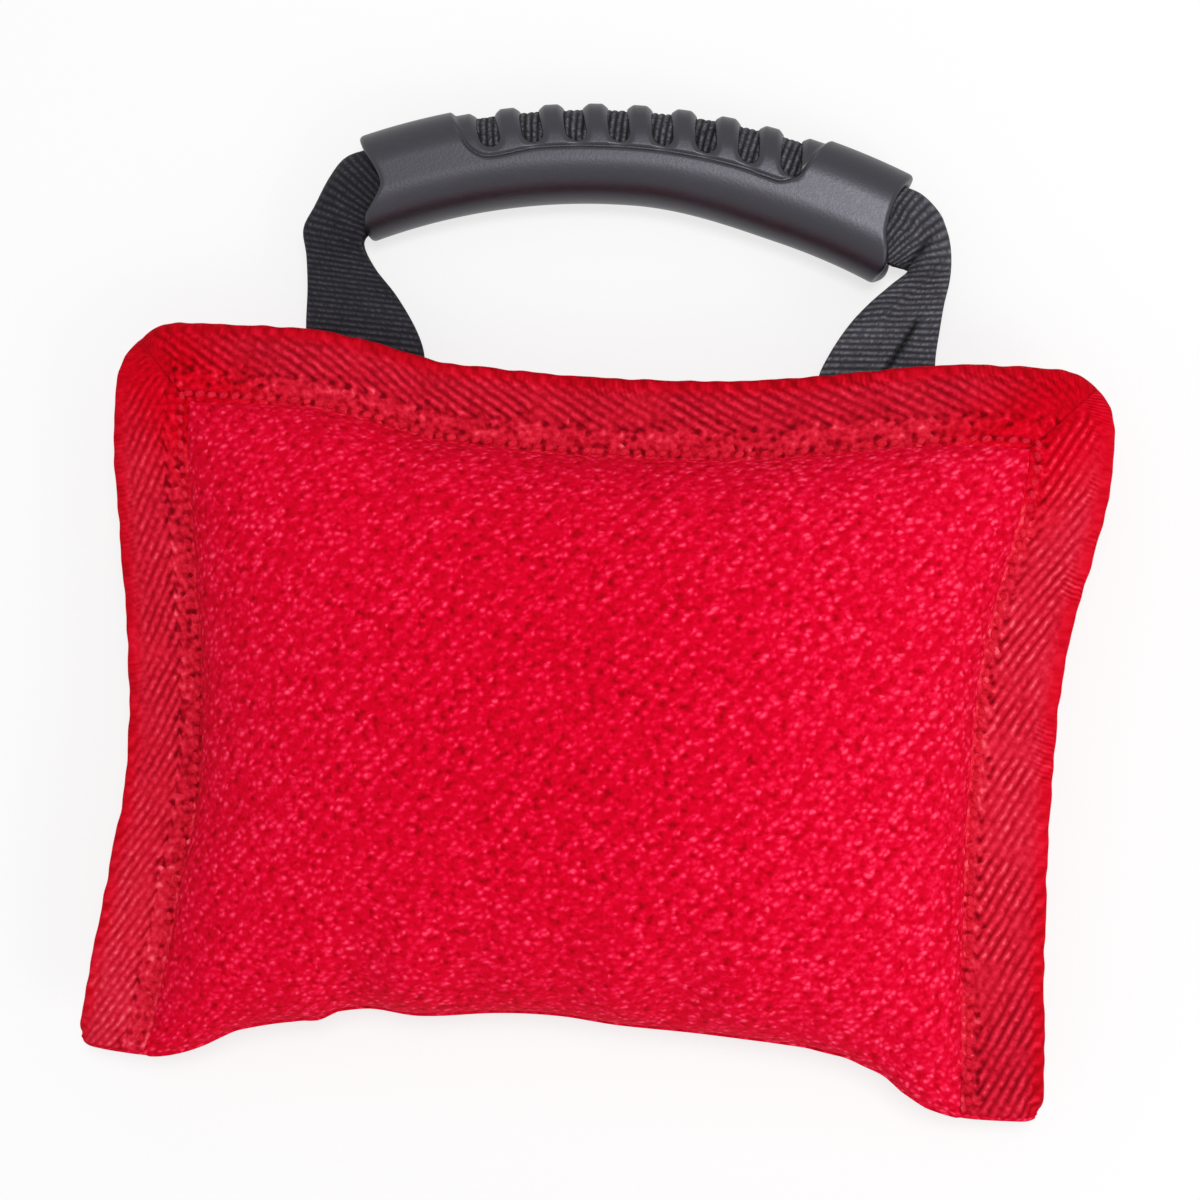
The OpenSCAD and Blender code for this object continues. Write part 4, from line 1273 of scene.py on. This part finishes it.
def tape_material():
    """Herringbone cotton tape: diagonal ribs that turn back part way over. Its fold and its corners keep a
    deeper red."""
    m = new_material("edge_herringbone")
    t = tape_places(m)
    height = tape_height(m, t)
    shade = height + tape_tone(m, t)
    rub = m.level(t.mitre_gap, 8.0, 24.0) * m.level(t.from_fold, 1.5, 5.0)
    colour = m.blend(rub, m.ramp(shade, FRESH_REDS), m.ramp(shade, RUBBED_REDS))
    m.set(colour=colour, roughness=0.95, sheen=0.03, sheen_roughness=0.5, sheen_tint=rgba(255, 90, 110),
          specular=0.05)
    m.bump(height, 0.45, 0.0008)
    return m.owner


THREAD_TWIST, THREAD_LAY = 1.3, 1.1


def thread_material(name, dark, light):
    """Plied sewing thread: strands that wind round each stitch."""
    m = new_material(name)
    weave = m.coords()
    along, around, _ = m.parts(weave)
    twist = m.math("SINE", (around * THREAD_LAY + along) * (2 * math.pi / THREAD_TWIST))
    strand = twist * 0.5 + 0.5
    grain = m.noise(weave, 0.9, 2) + m.noise(weave, 0.12, 1) - 0.5
    height = strand * 0.14 + grain * 0.86
    m.set(colour=m.ramp(height, ((0.2, dark), (0.75, light))), roughness=0.9, specular=0.05)
    m.bump(height, 0.3, 0.0003)
    return m.owner


def webbing_material(name, pitch, dark, light):
    """Ribbed black webbing of spun yarn: the tops of its ribs are dry and greyish, and uneven."""
    m = new_material(name)
    weave = m.coords()
    along, across, crease = m.parts(weave)
    rib = m.math("POWER", abs(m.math("SINE", along * (math.pi / pitch))), 1.6)
    row = m.math("FLOOR", along / pitch)
    spun = m.noise(m.vector(along * 0.55, across * 0.8, row), 1.35, 3, 0.7)
    top = rib * m.level(spun, 0.34, 0.7, 0.15, 1.15)
    shade = top - 0.25 + m.noise(weave, 0.1, 3) * 0.5
    between = [mix(a, b, 0.32) for a, b in zip(rgba(*dark), rgba(*light))]
    colour = m.ramp(shade, ((0.0, dark), (0.45, between), (1.0, light)))
    # Painted shadow: the folds' slits are blended towards near black.
    colour = m.blend(crease * 0.8, colour, rgba(5, 5, 7))
    m.set(colour=colour, roughness=0.85, sheen=0.06, sheen_roughness=0.4, specular=0.2)
    m.bump(rib * 0.5 + spun * 0.5, 0.7, 0.0006)
    return m.owner


def rubber_material():
    """Moulded satin rubber: fine grain, dusty in places, with painted shade in its hollows."""
    m = new_material("grip_rubber")
    hollow = m.parts(m.coords())[2]
    place = m.place_mm()
    pebble = m.noise(place, 1.4, 3, 0.6)
    mottle = m.noise(place, 0.45, 3, 0.6)
    shade = m.noise(place, 0.06, 4, 0.6) * 0.6 + mottle * 0.4
    colour = m.ramp(shade, ((0.3, (9, 8, 13)), (0.52, (12, 11, 17)), (0.75, (20, 19, 26))))
    # Painted shade: the hollows are blended towards near black.
    colour = m.blend(hollow * 0.8, colour, rgba(8, 8, 10))
    grit = pebble * 0.4 + mottle * 0.6
    m.set(colour=colour, roughness=m.level(grit, 0.3, 0.7, 0.36, 0.42), specular=0.74,
          specular_tint=(0.9, 0.88, 1.0, 1.0))
    m.bump(pebble, 0.16, 0.0003)
    return m.owner


def film_material():
    """Creased polyethylene film."""
    m = new_material("inner_film")
    crease = m.noise(m.place_mm(), 0.06, 4, 0.6, 1.2)
    colour = m.ramp(crease, ((0.3, (196, 202, 206)), (0.7, (226, 229, 231))))
    m.set(colour=colour, roughness=m.level(crease, 0.3, 0.7, 0.25, 0.4), specular=0.5)
    m.bump(crease, 0.5, 0.001)
    return m.owner


def sand_material():
    """Dry sand grains."""
    m = new_material("fill_sand")
    place = m.place_mm()
    grain, _ = m.cells(place, 1.4, flat=False)
    shade = grain * 0.6 + m.noise(place, 0.09, 4, 0.6) * 0.5
    colour = m.ramp(shade, ((0.2, (150, 126, 88)), (0.5, (202, 178, 134)), (0.8, (226, 210, 176))))
    m.set(colour=colour, roughness=0.9, specular=0.3)
    m.bump(grain, 0.6, 0.0004)
    return m.owner


def paint(piece, material):
    piece.data.materials.clear()
    piece.data.materials.append(material)


# ---------- Studio ----------

FLOOR_SIZE, FLOOR_GLOW = 6.0, 0.7
WORLD_LEVEL = 0.53
LAMP_AIM = (0, 0.03, 0.03)
# Area lamps: name, place in metres, size in metres and power in watts.
LAMPS = (
    ("key", (0.85, -0.5, 0.8), 0.5, 3.2),
    ("top", (0.18, 0.25, 1.3), 0.32, 8.2),
)


def add_lamp(name, place, size, power):
    data = bpy.data.lights.new(name, "AREA")
    data.energy = power
    data.size = size
    lamp = new_object(name, data)
    lamp.location = place
    aim = Vector(LAMP_AIM) - Vector(place)
    lamp.rotation_euler = aim.to_track_quat("-Z", "Y").to_euler()


def white_to_camera(m):
    """1 where the floor or backdrop is seen directly, in a reflection or through something clear."""
    seen = m.make("LightPath", {}, "Is Camera Ray")
    path = seen.socket.node.outputs
    for other in ("Is Glossy Ray", "Is Transmission Ray"):
        seen = m.math("MAXIMUM", seen, Value(m, path[other]))
    return seen


def floor_material():
    """White floor: mostly its own white to the camera, so that it keeps only a soft shadow."""
    m = new_material("floor_white")
    m.set(colour=(0.9, 0.9, 0.9, 1), roughness=0.9, specular=0.0)
    shaded = Value(m, m.surface.outputs[0])
    both = m.make("MixShader", {0: white_to_camera(m) * FLOOR_GLOW, 1: shaded, 2: m.make("Emission", {})})
    m.put(m.tree.nodes["Material Output"].inputs["Surface"], both)
    return m.owner


def add_floor():
    half = FLOOR_SIZE / 2
    corners = [(-half, -half, 0), (half, -half, 0), (half, half, 0), (-half, half, 0)]
    mesh = bpy.data.meshes.new("floor")
    mesh.from_pydata(corners, [], [(0, 1, 2, 3)])
    floor = new_object("floor", mesh)
    paint(floor, floor_material())


def add_world():
    m = Shader(bpy.data.worlds.new("studio"), "Background")
    m.put(m.surface.inputs["Strength"], m.level(white_to_camera(m), 0, 1, WORLD_LEVEL, 1.0))
    m.put(m.surface.inputs["Color"], (1, 1, 1, 1))
    bpy.context.scene.world = m.owner


# ---------- The scene ----------

# Each strap's stations and its webbing's dark and light colours: the left one is painted darker as shade and
# the right one lighter as lit.
STRAPS = {
    "left": (LEFT_STRAP, (20, 19, 25), (66, 64, 72)),
    "right": (RIGHT_STRAP, (40, 39, 44), (112, 110, 118)),
}


def build():
    paint(make_cover(), cloth_material())
    paint(make_tape(), tape_material())
    paint(make_binding_stitches(), thread_material("red_thread", (190, 8, 34), (226, 38, 64)))
    for side, (table, dark, light) in STRAPS.items():
        webbing = webbing_material("strap_webbing_" + side, WEB_PITCH, dark, light)
        for piece in make_strap(side, table):
            paint(piece, webbing)
    paint(make_box_stitches(), thread_material("black_thread", (34, 34, 40), (110, 108, 118)))
    paint(make_grip(), rubber_material())
    inner_black = webbing_material("grip_inner_webbing", INNER_WEB_PITCH, (16, 15, 20), (110, 108, 116))
    paint(make_inner_webbing(), inner_black)
    paint(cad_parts["inner_bag"], film_material())
    paint(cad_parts["sand_fill"], sand_material())
    add_floor()
    add_world()
    for lamp in LAMPS:
        add_lamp(*lamp)
    bpy.context.scene.view_settings.view_transform = "Standard"


build()
